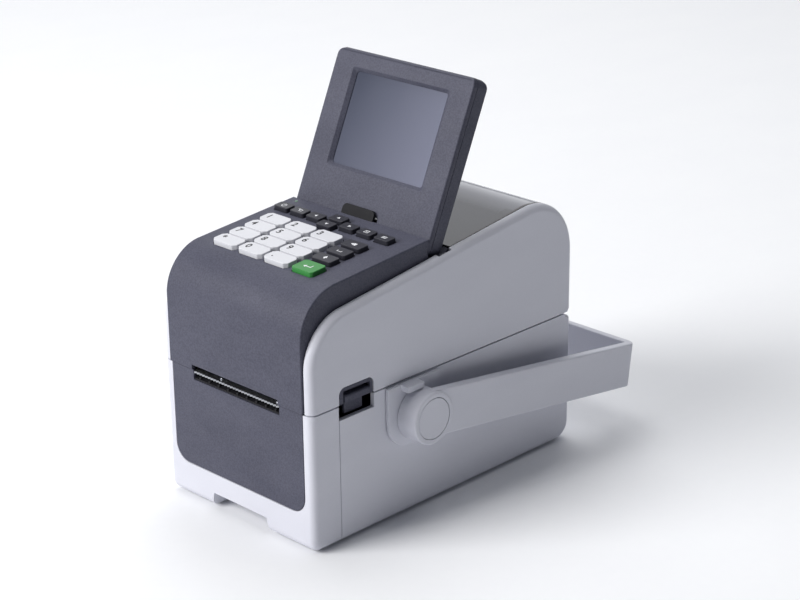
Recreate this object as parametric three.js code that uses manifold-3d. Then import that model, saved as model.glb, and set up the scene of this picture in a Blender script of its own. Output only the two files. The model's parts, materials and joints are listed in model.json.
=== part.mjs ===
// Desktop label printer with a keypad, a tilting display and a swinging carry handle.
// Millimetres, +X to the right, +Y to the back, +Z up. The shapes are drawn in the case's own
// frame, whose origin is at the middle of the lower front edge. The group at the end moves them
// so that the origin of the part is the middle of its footprint, on the surface it stands on.
import * as THREE from 'three';
import { mergeVertices } from 'three/addons/utils/BufferGeometryUtils.js';
import Module from 'manifold-3d';

const wasm = await Module();
wasm.setup();

// ---- driving dimensions ----

const GAP = 0.3; // between pieces that touch
const ROUND_STEPS = 7; // facets in each arc of an outline
const WELD = 1e-4;

const CASE = {
  halfWidth: 58,
  depth: 202,
  partingZ: 77.5,
  edgeRound: 4,
  wall: 3,
  frontSeamY: 19.45,
  frontArc: { y: 28, z: 101, r: 28 },
  topSlope: THREE.MathUtils.degToRad(7.6),
  rearArc: 33,
  footRound: 5,
  heelRound: 10,
};
const FOOT = { proud: 1.2, depth: 0.8, halfLength: 38, width: 6, frontY: 26, rearY: 183.5 };
const FLOOR_HATCH = { halfWidth: 46, frontY: 31, rearY: 178 };

const PANEL = { halfWidth: 51.5, bottomZ: 20, cornerR: 10, thick: 2.6 };
const NOTCH = { left: -21.5, right: 20.5, height: 8.3, slope: 2 };
const SLOT = { left: -34, right: 33.7, bottomZ: 71.5, topZ: 80.5 };
const RECESS = { frontY: 19.7, rearY: 44.5, bottomZ: 69.5, topZ: 87, cornerR: 4 };

const DECK = {
  halfWidth: 52.4,
  proud: 1,
  wall: 2.5,
  arc: { y: 25, z: 116, r: 26 },
  slope: THREE.MathUtils.degToRad(4.86),
  rearY: 91.7,
  floorY: 106.7,
  skirtZ: 104,
};
const DISPLAY = {
  axisY: 97,
  axisZ: 141,
  tilt: THREE.MathUtils.degToRad(24), // back from upright
  halfWidth: 51.5,
  height: 91.7,
  halfThick: 5.75,
  seam: -2.45,
  cornerR: 5,
  screen: { halfWidth: 34.1, bottom: 28.2, top: 79.8 },
};
const KNUCKLE = { left: -13.4, right: 10.8, r: 5.4, pinR: 1.5 };

const PLATEN = { y: 15.5, z: 69.5, r: 6.8, halfLength: 34.5, shaftR: 3 };
const GEARS = { module: 0.8, platenTeeth: 28, motorTeeth: 20, slack: 0.15, x0: -46.4, x1: -41.6 };
const DRIVE_ANGLE = THREE.MathUtils.degToRad(-55); // from the platen to the motor
const MOTOR = { r: 11.8, x0: -38.2, x1: -14, shaftR: 1.5 };
const CHEEK = { inner: 38.5, outer: 40, frontY: 6, rearY: 41, bottomZ: 44, topZ: 75 };

const ROLL = { y: 124, z: 78, r: 64, wall: 2, halfWidth: 52 };
const GUIDE = { inner: 33, thick: 2.5, halfDepth: 28, topZ: 112 };

const COVER_HINGE = { y: 200, z: CASE.partingZ, r: 3.2, rodR: 1.3, clear: 3.8 };
const KNUCKLES = { base: [[22, 27], [41, 46]], cover: [[27.5, 40.5]] };

const HANDLE = {
  pivotY: 73,
  pivotZ: 58,
  drop: THREE.MathUtils.degToRad(8),
  reach: 171,
  above: 15,
  below: 11.2,
  inner: 67.1,
  outer: 72.3,
  cornerR: 6,
  hubR: 14.6,
  hubFrom: 60.7,
  hubTo: 73.8,
  capR: 11.5,
  capThick: 2,
  studR: 5,
};
const BRACKET = { frontY: 52.5, rearY: 91.5, bottomZ: 40.7, cornerR: 16, thick: 2.2 };

const KEY = { proud: 2.5, below: 3.6, boardDepth: 5.3, boardThick: 1.6 };
const NUMBER_KEY = { wide: 18.4, deep: 10.1, corner: 2.6 };
const SIDE_KEY = { wide: 14.4, deep: 7.8, corner: 2 };
const ENTER_KEY = { wide: 15.6, deep: 11.4, corner: 2.6 };
const TOP_KEY = { wide: 10.8, deep: 6.8, corner: 1.8 };
const COLUMNS = [-32, -12, 8];
const ROWS = [60.4, 49.2, 38, 26.8];
const SIDE_X = 28.4;
const TOP_ROW_Y = 76.4;

// ---- materials ----

const lightPlastic = new THREE.MeshStandardMaterial({ color: '#c9cbd2', roughness: 0.5 });
const darkPlastic = new THREE.MeshStandardMaterial({ color: '#45464f', roughness: 0.55 });
const blackPlastic = new THREE.MeshStandardMaterial({ color: '#1c1c20', roughness: 0.5 });
const smoked = new THREE.MeshStandardMaterial({ color: '#6c6e78', roughness: 0.2 });
const screenGlass = new THREE.MeshStandardMaterial({ color: '#5d6574', roughness: 0.15 });
const whiteKey = new THREE.MeshStandardMaterial({ color: '#e8e8ea', roughness: 0.45 });
const greenKey = new THREE.MeshStandardMaterial({ color: '#48944e', roughness: 0.45 });
const rubber = new THREE.MeshStandardMaterial({ color: '#26262a', roughness: 0.9 });
const steel = new THREE.MeshStandardMaterial({ color: '#b4b6ba', roughness: 0.35, metalness: 1 });
const board = new THREE.MeshStandardMaterial({ color: '#1f5a3a', roughness: 0.5 });
const nylon = new THREE.MeshStandardMaterial({ color: '#d8d4c6', roughness: 0.5 });

// ---- shape helpers ----

function solid(geometry) {
  const bare = geometry.clone();
  bare.deleteAttribute('normal');
  bare.deleteAttribute('uv');
  const welded = mergeVertices(bare, WELD);
  const vertProperties = new Float32Array(welded.attributes.position.array);
  const triVerts = new Uint32Array(welded.index.array);
  return new wasm.Manifold(new wasm.Mesh({ numProp: 3, vertProperties, triVerts }));
}

function meshOf(name, body, material) {
  const { vertProperties, triVerts } = body.getMesh();
  const geometry = new THREE.BufferGeometry();
  geometry.setAttribute('position', new THREE.BufferAttribute(new Float32Array(vertProperties), 3));
  geometry.setIndex(new THREE.BufferAttribute(new Uint32Array(triVerts), 1));
  geometry.computeVertexNormals();
  const mesh = new THREE.Mesh(geometry, material);
  mesh.name = name;
  return mesh;
}

function box([x0, x1], [y0, y1], [z0, z1]) {
  const geometry = new THREE.BoxGeometry(x1 - x0, y1 - y0, z1 - z0);
  geometry.translate((x0 + x1) / 2, (y0 + y1) / 2, (z0 + z1) / 2);
  return solid(geometry);
}

function rodX(r, x0, x1, y, z, sides = 24) {
  const geometry = new THREE.CylinderGeometry(r, r, x1 - x0, sides);
  geometry.rotateZ(Math.PI / 2);
  geometry.translate((x0 + x1) / 2, y, z);
  return solid(geometry);
}

function rodY(r, x, y0, y1, z, sides = 20) {
  const geometry = new THREE.CylinderGeometry(r, r, y1 - y0, sides);
  geometry.translate(x, (y0 + y1) / 2, z);
  return solid(geometry);
}

// An outline drawn in (y, z), carried along X.
function alongX(shape, x0, x1, round = 0) {
  const geometry = new THREE.ExtrudeGeometry(shape, {
    depth: x1 - x0 - 2 * round,
    curveSegments: ROUND_STEPS,
    bevelEnabled: round > 0,
    bevelThickness: round,
    bevelSize: round,
    bevelOffset: -round,
    bevelSegments: 3,
  });
  const [right, back, up] = [0, 1, 2].map((i) => new THREE.Vector3().setComponent(i, 1));
  geometry.translate(0, 0, x0 + round);
  geometry.applyMatrix4(new THREE.Matrix4().makeBasis(back, up, right));
  return solid(geometry);
}

// An outline drawn in (x, z), carried along Y.
function alongY(shape, y0, y1) {
  const geometry = new THREE.ExtrudeGeometry(shape, {
    depth: y1 - y0,
    curveSegments: ROUND_STEPS,
    bevelEnabled: false,
  });
  geometry.rotateX(Math.PI / 2);
  geometry.translate(0, y1, 0);
  return solid(geometry);
}

// An outline drawn in (x, y), carried along Z.
function alongZ(shape, z0, z1, round = 0) {
  const geometry = new THREE.ExtrudeGeometry(shape, {
    depth: z1 - z0 - 2 * round,
    curveSegments: ROUND_STEPS,
    bevelEnabled: round > 0,
    bevelThickness: round,
    bevelSize: round,
    bevelOffset: -round,
    bevelSegments: 1,
  });
  geometry.translate(0, 0, z0 + round);
  return solid(geometry);
}

function polygon(points) {
  return new THREE.Shape(points.map(([a, b]) => new THREE.Vector2(a, b)));
}

// A rectangle whose corners may each have a radius: lower left, lower right, upper right, upper left.
function roundedRect(a0, a1, b0, b1, [ll, lr, ur, ul]) {
  const shape = new THREE.Shape();
  shape.moveTo(a0 + ll, b0);
  shape.lineTo(a1 - lr, b0);
  if (lr) shape.absarc(a1 - lr, b0 + lr, lr, -Math.PI / 2, 0);
  shape.lineTo(a1, b1 - ur);
  if (ur) shape.absarc(a1 - ur, b1 - ur, ur, 0, Math.PI / 2);
  shape.lineTo(a0 + ul, b1);
  if (ul) shape.absarc(a0 + ul, b1 - ul, ul, Math.PI / 2, Math.PI);
  shape.lineTo(a0, b0 + ll);
  if (ll) shape.absarc(a0 + ll, b0 + ll, ll, Math.PI, 1.5 * Math.PI);
  return shape;
}

function bothSides(make) {
  return make(-1).add(make(1));
}

function span(side, a, b) {
  return side < 0 ? [-b, -a] : [a, b];
}

// ---- case ----

// The outline of the whole case from the side, drawn a given distance inside its outer face.
function caseOutline(inset) {
  const { depth, frontArc, rearArc, footRound, heelRound, topSlope } = CASE;
  const crest = Math.PI / 2 + topSlope;
  const topStart = frontArc.z + frontArc.r / Math.cos(topSlope) - frontArc.y * Math.tan(topSlope);
  const rearY = depth - rearArc;
  const rearZ = topStart + rearY * Math.tan(topSlope) - rearArc / Math.cos(topSlope);
  const toe = Math.max(footRound - inset, 1);
  const shape = new THREE.Shape();
  shape.moveTo(inset + toe, inset);
  shape.lineTo(depth - heelRound, inset);
  shape.absarc(depth - heelRound, heelRound, heelRound - inset, -Math.PI / 2, 0);
  shape.lineTo(depth - inset, rearZ);
  shape.absarc(rearY, rearZ, rearArc - inset, 0, crest);
  shape.absarc(frontArc.y, frontArc.z, frontArc.r - inset, crest, Math.PI);
  shape.lineTo(inset, inset + toe);
  shape.absarc(inset + toe, inset + toe, toe, Math.PI, 1.5 * Math.PI);
  return shape;
}

const HALF = CASE.halfWidth;
const INNER = HALF - CASE.wall;
const WIDE = [-100, 100];
const LOWER_TOP = CASE.partingZ - GAP;
const COVER_BOTTOM = CASE.partingZ + GAP;
const envelope = alongX(caseOutline(0), -HALF, HALF, CASE.edgeRound);
const cavity = alongX(caseOutline(CASE.wall), -INNER, INNER);

function hingeBarrels(pairs, r) {
  const rods = pairs.flatMap(([a, b]) => [-1, 1].map((side) => {
    const [x0, x1] = span(side, a, b);
    return rodX(r, x0, x1, COVER_HINGE.y, COVER_HINGE.z);
  }));
  return rods.reduce((sum, rod) => sum.add(rod));
}

function hingeBore() {
  return rodX(COVER_HINGE.rodR + GAP, -HALF, HALF, COVER_HINGE.y, COVER_HINGE.z);
}

// Where each rear connector stands: left, right, lower and upper edge of its window.
const PORTS = [
  [-37, -29, 8.2, 16],
  [-16.6, -6.4, 8.2, 16],
  [7.4, 20.6, 8.2, 17.6],
];

function lowerCase() {
  const room = box(WIDE, [CASE.frontSeamY + GAP / 2, 300], [-10, LOWER_TOP]);
  const frontWall = box([-INNER, INNER], [0, CASE.frontSeamY + 2.7], [CASE.wall, 38]);
  const hatch = FLOOR_HATCH;
  let body = envelope.intersect(room).subtract(cavity.subtract(frontWall));
  body = body.subtract(box([-hatch.halfWidth, hatch.halfWidth], [hatch.frontY, hatch.rearY], [-1, 4]));
  for (const y of [FOOT.frontY, FOOT.rearY]) {
    const reach = FOOT.halfLength + GAP;
    const half = FOOT.width / 2 + GAP;
    body = body.subtract(box([-reach, reach], [y - half, y + half], [-1, FOOT.depth + GAP]));
  }
  for (const [x0, x1, z0, z1] of PORTS) {
    body = body.subtract(box([x0, x1], [CASE.depth - 6, CASE.depth + 1], [z0, z1]));
  }
  const finger = (side) => box(span(side, INNER - 2, HALF + 2), [0, RECESS.rearY], [RECESS.bottomZ, 90]);
  body = body.subtract(bothSides(finger));
  const groove = rodX(COVER_HINGE.clear, -HALF - 1, HALF + 1, COVER_HINGE.y, COVER_HINGE.z);
  const lugs = hingeBarrels(KNUCKLES.base, COVER_HINGE.r).add(lugWebs());
  return body.subtract(groove).add(lugs).subtract(hingeBore());
}

// The ribs that carry the fixed knuckles on the inner face of the rear wall.
function lugWebs() {
  const webs = KNUCKLES.base.flatMap(([a, b]) => [-1, 1].map((side) => {
    const { y, z, r } = COVER_HINGE;
    return box(span(side, a, b), [y - r, y + 1], [z - 10, z]);
  }));
  return webs.reduce((sum, web) => sum.add(web));
}

function frontFrame() {
  const room = box(WIDE, [-10, CASE.frontSeamY - GAP / 2], [-10, LOWER_TOP]);
  const hollow = box([-INNER, INNER], [CASE.wall, 40], [CASE.wall, 100]);
  const { halfWidth, bottomZ, cornerR } = PANEL;
  const window = roundedRect(-halfWidth, halfWidth, bottomZ, 100, [cornerR, cornerR, 0, 0]);
  const { left, right, height, slope } = NOTCH;
  const notch = polygon([[left - slope, -1], [right + slope, -1], [right, height], [left, height]]);
  const raised = box([left - 3, right + 3], [CASE.wall, 40], [0, height + CASE.wall]);
  return envelope
    .intersect(room)
    .subtract(hollow.subtract(raised))
    .subtract(alongY(window, -5, 6))
    .subtract(alongY(notch, -5, 40));
}

function frontPanel() {
  const half = PANEL.halfWidth - GAP;
  const r = PANEL.cornerR - GAP;
  const plate = roundedRect(-half, half, PANEL.bottomZ + GAP, LOWER_TOP, [r, r, 0, 0]);
  const slot = box([SLOT.left, SLOT.right], [-5, 10], [SLOT.bottomZ, 100]);
  return alongY(plate, 0, PANEL.thick).subtract(slot);
}

function basePlate() {
  const { halfWidth, frontY, rearY } = FLOOR_HATCH;
  const x = halfWidth - GAP;
  const plate = box([-x, x], [frontY + GAP, rearY - GAP], [0.3, 2.5]);
  const vents = [-30, -15, 0, 15, 30].map((at) => box([at - 1.5, at + 1.5], [60, 100], [-1, 4]));
  return vents.reduce((sum, vent) => sum.subtract(vent), plate);
}

function foot(y) {
  const x = FOOT.halfLength;
  return box([-x, x], [y - FOOT.width / 2, y + FOOT.width / 2], [-FOOT.proud, FOOT.depth]);
}

function exitLip() {
  const x0 = SLOT.left + GAP;
  const x1 = SLOT.right - GAP;
  const z = SLOT.bottomZ + GAP;
  let lip = alongX(polygon([[0.6, z], [5.2, z], [5.2, z + 1.6], [0.6, z + 0.8]]), x0, x1);
  const ribs = 9;
  const pitch = (x1 - x0) / ribs;
  for (let i = 0; i < ribs; i += 1) {
    const x = x0 + (i + 0.5) * pitch;
    const rib = alongX(polygon([[0.6, z], [5.2, z], [5.2, z + 3.6], [1.2, z + 1.6]]), x - 0.7, x + 0.7);
    lip = lip.add(rib);
  }
  return lip;
}

function tearBar() {
  const teeth = 30;
  const x0 = SLOT.left + GAP;
  const x1 = SLOT.right - GAP;
  const pitch = (x1 - x0) / teeth;
  const edge = [];
  for (let i = 0; i < teeth; i += 1) {
    edge.push([x0 + i * pitch, 0.2], [x0 + (i + 0.5) * pitch, -0.7]);
  }
  const outline = polygon([[x0, 6], ...edge, [x1, 0.2], [x1, 6]]);
  return alongZ(outline, 75.9, 76.9);
}

function mediaBay() {
  const { y, z, r, wall, halfWidth } = ROLL;
  const from = THREE.MathUtils.degToRad(190);
  const to = THREE.MathUtils.degToRad(350);
  const shape = new THREE.Shape();
  shape.absarc(y, z, r, from, to, false);
  shape.absarc(y, z, r + wall, to, from, true);
  const trough = alongX(shape, -halfWidth, halfWidth);
  const tracks = bothSides((side) => box(span(side, 8, 48), [y - 4, y + 4], [z - r - wall - 1, z - r + 1]));
  return trough.subtract(tracks);
}

function mainBoard() {
  const top = 6.6;
  let body = box([-44, 44], [60, 195], [5, top]);
  body = body.add(box([-38, -28], [184, 197.8], [top - 0.1, 17.6]));
  body = body.add(box([-18, -5], [182, 197.8], [top - 0.1, 17.6]));
  body = body.add(box([6, 22], [180, 197.8], [top - 0.1, 19]));
  body = body.subtract(rodY(3, -33, 187, 199, 12));
  body = body.add(rodY(0.9, -33, 186, 196, 12, 12));
  body = body.subtract(box([-15.7, -7.3], [188, 199], [8.6, 15.6]));
  body = body.subtract(box([8, 20], [185, 199], [8.6, 16.8]));
  const chips = [[-30, 75, 12, 12], [-6, 78, 16, 16], [22, 72, 10, 14], [-34, 150, 8, 20]];
  for (const [x, y, wide, deep] of chips) {
    body = body.add(box([x, x + wide], [y, y + deep], [top - 0.1, 8.4]));
  }
  return body;
}

// ---- printing mechanism ----

const MESH = (GEARS.module * (GEARS.platenTeeth + GEARS.motorTeeth)) / 2 + GEARS.slack;
const MOTOR_Y = PLATEN.y + MESH * Math.cos(DRIVE_ANGLE);
const MOTOR_Z = PLATEN.z + MESH * Math.sin(DRIVE_ANGLE);

// A spur gear in (y, z) about its own centre, with a tooth pointing along the angle given.
function gearOutline(teeth, boreR, toothAngle) {
  const { module } = GEARS;
  const pitchR = (module * teeth) / 2;
  const tooth = (2 * Math.PI) / teeth;
  const corners = [
    [pitchR - 1.2 * module, -0.36],
    [pitchR - 0.2 * module, -0.24],
    [pitchR + 0.85 * module, -0.1],
    [pitchR + 0.85 * module, 0.1],
    [pitchR - 0.2 * module, 0.24],
    [pitchR - 1.2 * module, 0.36],
  ];
  const points = [];
  for (let i = 0; i < teeth; i += 1) {
    for (const [r, share] of corners) {
      const angle = toothAngle + (i + share) * tooth;
      points.push([r * Math.cos(angle), r * Math.sin(angle)]);
    }
  }
  const shape = polygon(points);
  const bore = new THREE.Path();
  bore.absarc(0, 0, boreR, 0, 2 * Math.PI);
  shape.holes.push(bore);
  return shape;
}

function platenGear() {
  const outline = gearOutline(GEARS.platenTeeth, PLATEN.shaftR + GAP, DRIVE_ANGLE);
  return alongX(outline, GEARS.x0, GEARS.x1).translate([0, PLATEN.y, PLATEN.z]);
}

function motorPinion() {
  const gapAngle = DRIVE_ANGLE + Math.PI + Math.PI / GEARS.motorTeeth;
  const outline = gearOutline(GEARS.motorTeeth, MOTOR.shaftR + GAP, gapAngle);
  return alongX(outline, GEARS.x0, GEARS.x1).translate([0, MOTOR_Y, MOTOR_Z]);
}

function platenRoller() {
  const { r, halfLength, shaftR, y, z } = PLATEN;
  return rodX(r, -halfLength, halfLength, y, z, 32).subtract(rodX(shaftR + GAP, -60, 60, y, z));
}

function stepperMotor() {
  const { r, x0, x1, shaftR } = MOTOR;
  const can = rodX(r, x0, x1, MOTOR_Y, MOTOR_Z, 32);
  return can.add(rodX(shaftR, GEARS.x0 - 1, x0 + 1, MOTOR_Y, MOTOR_Z, 16));
}

function platenFrame() {
  const { inner, outer, frontY, rearY, bottomZ, topZ } = CHEEK;
  const outline = roundedRect(frontY, rearY, bottomZ, topZ, [6, 2, 2, 6]);
  let body = bothSides((side) => alongX(outline, ...span(side, inner, outer)));
  body = body.add(box([-outer, outer], [rearY - 1.5, rearY], [bottomZ + 4, topZ - 8]));
  body = body.add(bothSides((side) => box(span(side, inner, 50.2), [29, 37], [73.2, 74.6])));
  body = body.subtract(rodX(PLATEN.shaftR + 0.4, -60, 60, PLATEN.y, PLATEN.z));
  return body.subtract(rodX(5, -outer - 1, -inner + 1, MOTOR_Y, MOTOR_Z));
}

function mediaGuide(side) {
  const { inner, thick, halfDepth, topZ } = GUIDE;
  const foot = ROLL.z - ROLL.r + 4;
  const plate = roundedRect(ROLL.y - halfDepth, ROLL.y + halfDepth, foot, topZ, [12, 12, 26, 26]);
  const hub = rodX(11.5, ...span(side, inner - 2.5, inner + 1), ROLL.y, ROLL.z, 28);
  const shoe = box(span(side, inner, inner + 12), [ROLL.y - 12, ROLL.y + 12], [foot - 1.2, foot + 2]);
  const peg = box(span(side, inner, inner + 8), [ROLL.y - 3.4, ROLL.y + 3.4], [foot - 5, foot]);
  return alongX(plate, ...span(side, inner, inner + thick)).add(hub).add(shoe).add(peg);
}

function printHead() {
  const block = polygon([[9, 78], [12, 76.8], [20, 76.8], [30, 79.5], [30, 85], [12, 85], [9, 83]]);
  let body = alongX(block, -35, 35);
  for (const y of [13, 18, 23, 28]) {
    body = body.add(box([-33, 33], [y - 0.8, y + 0.8], [84.9, 93]));
  }
  return body.add(bothSides((side) => box(span(side, 24, 30), [17, 24], [84.9, 133])));
}

// ---- cover ----

function coverShell() {
  const room = box(WIDE, [-10, 300], [COVER_BOTTOM, 300]);
  const opening = DECK.halfWidth + 0.5;
  let body = envelope.intersect(room).subtract(cavity);
  body = body.subtract(box([-opening, opening], [-10, DECK.floorY + 0.4], [70, 200]));
  body = body.subtract(box([-opening, opening], [100, 300], [131.8, 200]));
  const notch = (side) => box(span(side, opening - 1, 55.4), [96, 106], [130, 200]);
  body = body.subtract(bothSides(notch));
  const { frontY, rearY, topZ, cornerR } = RECESS;
  const recess = roundedRect(frontY, rearY, 70, topZ, [0, 0, cornerR, cornerR]);
  body = body.subtract(bothSides((side) => alongX(recess, ...span(side, INNER - 2, HALF + 2))));
  body = body.subtract(hingeBarrels(KNUCKLES.base, COVER_HINGE.r + 0.4));
  const lugs = hingeBarrels(KNUCKLES.cover, COVER_HINGE.r);
  const webs = bothSides((side) => {
    const { y, z, r } = COVER_HINGE;
    return box(span(side, ...KNUCKLES.cover[0]), [y - r, y + 1], [z, z + 10]);
  });
  return body.add(lugs).add(webs).subtract(hingeBore());
}

function mediaWindow() {
  const x = DECK.halfWidth + 0.2;
  const rim = alongX(caseOutline(0), -x, x).subtract(alongX(caseOutline(2.5), -80, 80));
  return rim.intersect(box(WIDE, [DECK.floorY + 0.7, 300], [132.1, 200]));
}

function deckTopZ(y) {
  const { arc, slope } = DECK;
  return arc.z + arc.r / Math.cos(slope) + (y - arc.y) * Math.tan(slope);
}

function deckOutline() {
  const { arc, slope, proud, rearY, floorY } = DECK;
  const { axisY, axisZ } = DISPLAY;
  const cradleR = 6.3;
  const shape = new THREE.Shape();
  shape.moveTo(-proud, COVER_BOTTOM);
  shape.lineTo(floorY, COVER_BOTTOM);
  shape.lineTo(floorY, 139);
  shape.lineTo(102, 136.4);
  shape.absarc(axisY, axisZ, cradleR, -Math.PI / 3, -Math.PI, true);
  shape.lineTo(rearY, deckTopZ(rearY));
  shape.absarc(arc.y, arc.z, arc.r, Math.PI / 2 + slope, Math.PI);
  return shape;
}

function deckHollow() {
  const { arc, slope, wall, rearY, floorY } = DECK;
  const { axisY, axisZ } = DISPLAY;
  const inside = rearY - wall;
  const shape = new THREE.Shape();
  shape.moveTo(wall - DECK.proud, 60);
  shape.lineTo(floorY - wall, 60);
  shape.lineTo(floorY - wall, 133.6);
  shape.absarc(axisY, axisZ, 8.8, -Math.PI / 2, -Math.PI, true);
  shape.lineTo(inside, deckTopZ(inside) - wall);
  shape.absarc(arc.y, arc.z, arc.r - wall, Math.PI / 2 + slope, Math.PI);
  return shape;
}

// Places a body drawn flat, with z = 0 at the deck's surface, on the sloping deck.
function onDeck(body, x, y) {
  const degrees = THREE.MathUtils.radToDeg(DECK.slope);
  return body.rotate([degrees, 0, 0]).translate([x, y, deckTopZ(y)]);
}

function keyCap({ wide, deep, corner }, grow = 0) {
  const a = wide / 2 + grow;
  const b = deep / 2 + grow;
  const outline = polygon([
    [-a + corner, -b], [a - corner, -b], [a, -b + corner], [a, b - corner],
    [a - corner, b], [-a + corner, b], [-a, b - corner], [-a, -b + corner],
  ]);
  const reach = grow ? 10 : 0;
  return alongZ(outline, -KEY.below - reach, KEY.proud + reach, grow ? 0 : 0.5);
}

function numberKeys() {
  const names = [
    ['key_1', 'key_2', 'key_3'],
    ['key_4', 'key_5', 'key_6'],
    ['key_7', 'key_8', 'key_9'],
    ['key_mark', 'key_0', 'key_point'],
  ];
  return names.flatMap((row, r) => row.map((name, c) => {
    return { name, size: NUMBER_KEY, x: COLUMNS[c] + r * 0.3, y: ROWS[r], material: whiteKey };
  }));
}

const KEYS = [
  ...numberKeys(),
  { name: 'key_backspace', size: SIDE_KEY, x: SIDE_X, y: 60.9, material: blackPlastic },
  { name: 'key_space', size: SIDE_KEY, x: SIDE_X, y: 50.6, material: blackPlastic },
  { name: 'key_case', size: SIDE_KEY, x: SIDE_X, y: 40.3, material: blackPlastic },
  { name: 'key_enter', size: ENTER_KEY, x: SIDE_X + 1, y: 27.6, material: greenKey },
  { name: 'key_power', size: TOP_KEY, x: -42.4, y: TOP_ROW_Y, material: blackPlastic },
  { name: 'key_return', size: TOP_KEY, x: -29.6, y: TOP_ROW_Y, material: blackPlastic },
  { name: 'key_left', size: TOP_KEY, x: -16.8, y: TOP_ROW_Y, material: blackPlastic },
  { name: 'key_up', size: TOP_KEY, x: -4, y: TOP_ROW_Y + 4.6, material: blackPlastic },
  { name: 'key_down', size: TOP_KEY, x: -4, y: TOP_ROW_Y - 4.6, material: blackPlastic },
  { name: 'key_right', size: TOP_KEY, x: 8.8, y: TOP_ROW_Y, material: blackPlastic },
  { name: 'key_file', size: TOP_KEY, x: 22, y: TOP_ROW_Y, material: blackPlastic },
  { name: 'key_menu', size: TOP_KEY, x: 35.2, y: TOP_ROW_Y, material: blackPlastic },
];

function displayHingeBlock() {
  const { left, right, r, pinR } = KNUCKLE;
  const { axisY, axisZ, tilt } = DISPLAY;
  const block = rodX(r, left, right, axisY, axisZ).add(box([left, right], [axisY - 3, axisY + 3], [133, axisZ]));
  const pin = rodX(pinR, left - 3.5, right + 3.5, axisY, axisZ, 16);
  const tabOutline = roundedRect(left, right, -8, 10.2, [0, 0, 2, 2]);
  const tab = alongY(tabOutline, -8.2, -6.4);
  const lean = -THREE.MathUtils.radToDeg(tilt);
  return block.add(pin).add(tab.rotate([lean, 0, 0]).translate([0, axisY, axisZ]));
}

function keypadDeck() {
  const { halfWidth, wall, skirtZ, floorY } = DECK;
  let body = alongX(deckOutline(), -halfWidth, halfWidth);
  body = body.subtract(alongX(deckHollow(), -halfWidth + wall, halfWidth - wall));
  body = body.subtract(box(WIDE, [8, 200], [0, skirtZ]));
  body = body.subtract(box([wall - halfWidth, halfWidth - wall], [95, 200], [0, 131]));
  body = body.subtract(box([SLOT.left, SLOT.right], [-5, 6], [70, SLOT.topZ]));
  for (const { size, x, y } of KEYS) {
    body = body.subtract(onDeck(keyCap(size, GAP), x, y));
  }
  const ear = (side) => box(span(side, halfWidth - 0.2, 55.1), [96.3, 105.7], [132.5, 137.4]);
  const rear = box(WIDE, [floorY, 200], [0, 300]);
  return body.add(bothSides(ear)).add(displayHingeBlock()).subtract(rear);
}

function keypadBoard() {
  const plate = alongZ(roundedRect(-47, 47, -5.5, 61, [2, 2, 2, 2]), -KEY.boardThick, 0);
  const lowered = plate.translate([0, 0, -KEY.boardDepth]);
  return onDeck(lowered, 0, DECK.arc.y);
}

const LEVER_SLOT = { frontY: 23.2, rearY: 42.2, topZ: 84.6 };

function releaseBezel(side) {
  const { frontY, rearY, topZ, cornerR } = RECESS;
  const r = cornerR - GAP;
  const plate = roundedRect(frontY + GAP, rearY - GAP, COVER_BOTTOM, topZ - GAP, [0, 0, r, r]);
  const slot = LEVER_SLOT;
  const body = alongX(plate, ...span(side, INNER + 0.2, HALF - 0.5));
  return body.subtract(box(WIDE, [slot.frontY, slot.rearY], [0, slot.topZ]));
}

function releaseLever(side) {
  const slot = LEVER_SLOT;
  const ridge = box(span(side, 52.2, HALF), [slot.frontY + 0.5, slot.rearY - 0.5], [78.2, 82.2]);
  const arm = box(span(side, 52.2, 54.2), [26.5, 39.5], [70.2, 89]);
  const nose = box(span(side, 50.7, 53), [29.5, 36.5], [70.2, 72.6]);
  return ridge.add(arm).add(nose);
}

// ---- display, in its own frame: origin on the hinge axis, +Z up the screen, +Y to its back ----

function displayBlank() {
  const { halfWidth, height, halfThick, cornerR } = DISPLAY;
  const t = halfThick;
  const side = roundedRect(-t, t, -t, height, [t, t, 3, 3]);
  const r = cornerR;
  const face = roundedRect(-halfWidth, halfWidth, -t, height, [r, r, r, r]);
  const blank = alongX(side, -halfWidth, halfWidth).intersect(alongY(face, -20, 20));
  const cut = box([KNUCKLE.left - 0.6, KNUCKLE.right + 0.6], [-20, 20], [-20, KNUCKLE.r + 1]);
  const bore = rodX(KNUCKLE.pinR + GAP, KNUCKLE.left - 4.2, KNUCKLE.right + 4.2, 0, 0, 16);
  return blank.subtract(cut).subtract(bore);
}

function displayBezel() {
  const { seam, halfThick, screen } = DISPLAY;
  const front = displayBlank().intersect(box(WIDE, [-20, seam - GAP / 2], [-20, 200]));
  const { halfWidth, bottom, top } = screen;
  const window = box([-halfWidth, halfWidth], [-20, 0], [bottom, top]);
  const pocket = box([-39, 39], [2 - halfThick, 0], [bottom - 4, top + 4]);
  return front.subtract(window).subtract(pocket);
}

function lcdPanel() {
  const { halfThick, screen } = DISPLAY;
  const face = 2 - halfThick + GAP;
  const plate = box([-38.6, 38.6], [face, face + 2.6], [screen.bottom - 3.6, screen.top + 3.6]);
  return plate;
}

function displayBack() {
  const { seam, screen } = DISPLAY;
  const rear = displayBlank().intersect(box(WIDE, [seam + GAP / 2, 20], [-20, 200]));
  const pocket = box([-47, 47], [-5, 3.5], [8, 88]);
  const posts = box([-39, 39], [1, 4], [screen.bottom - 2, screen.bottom + 2]);
  return rear.subtract(pocket.subtract(posts));
}

// ---- carry handle, in its own frame: origin on the pivot, arm along +Y ----

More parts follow.
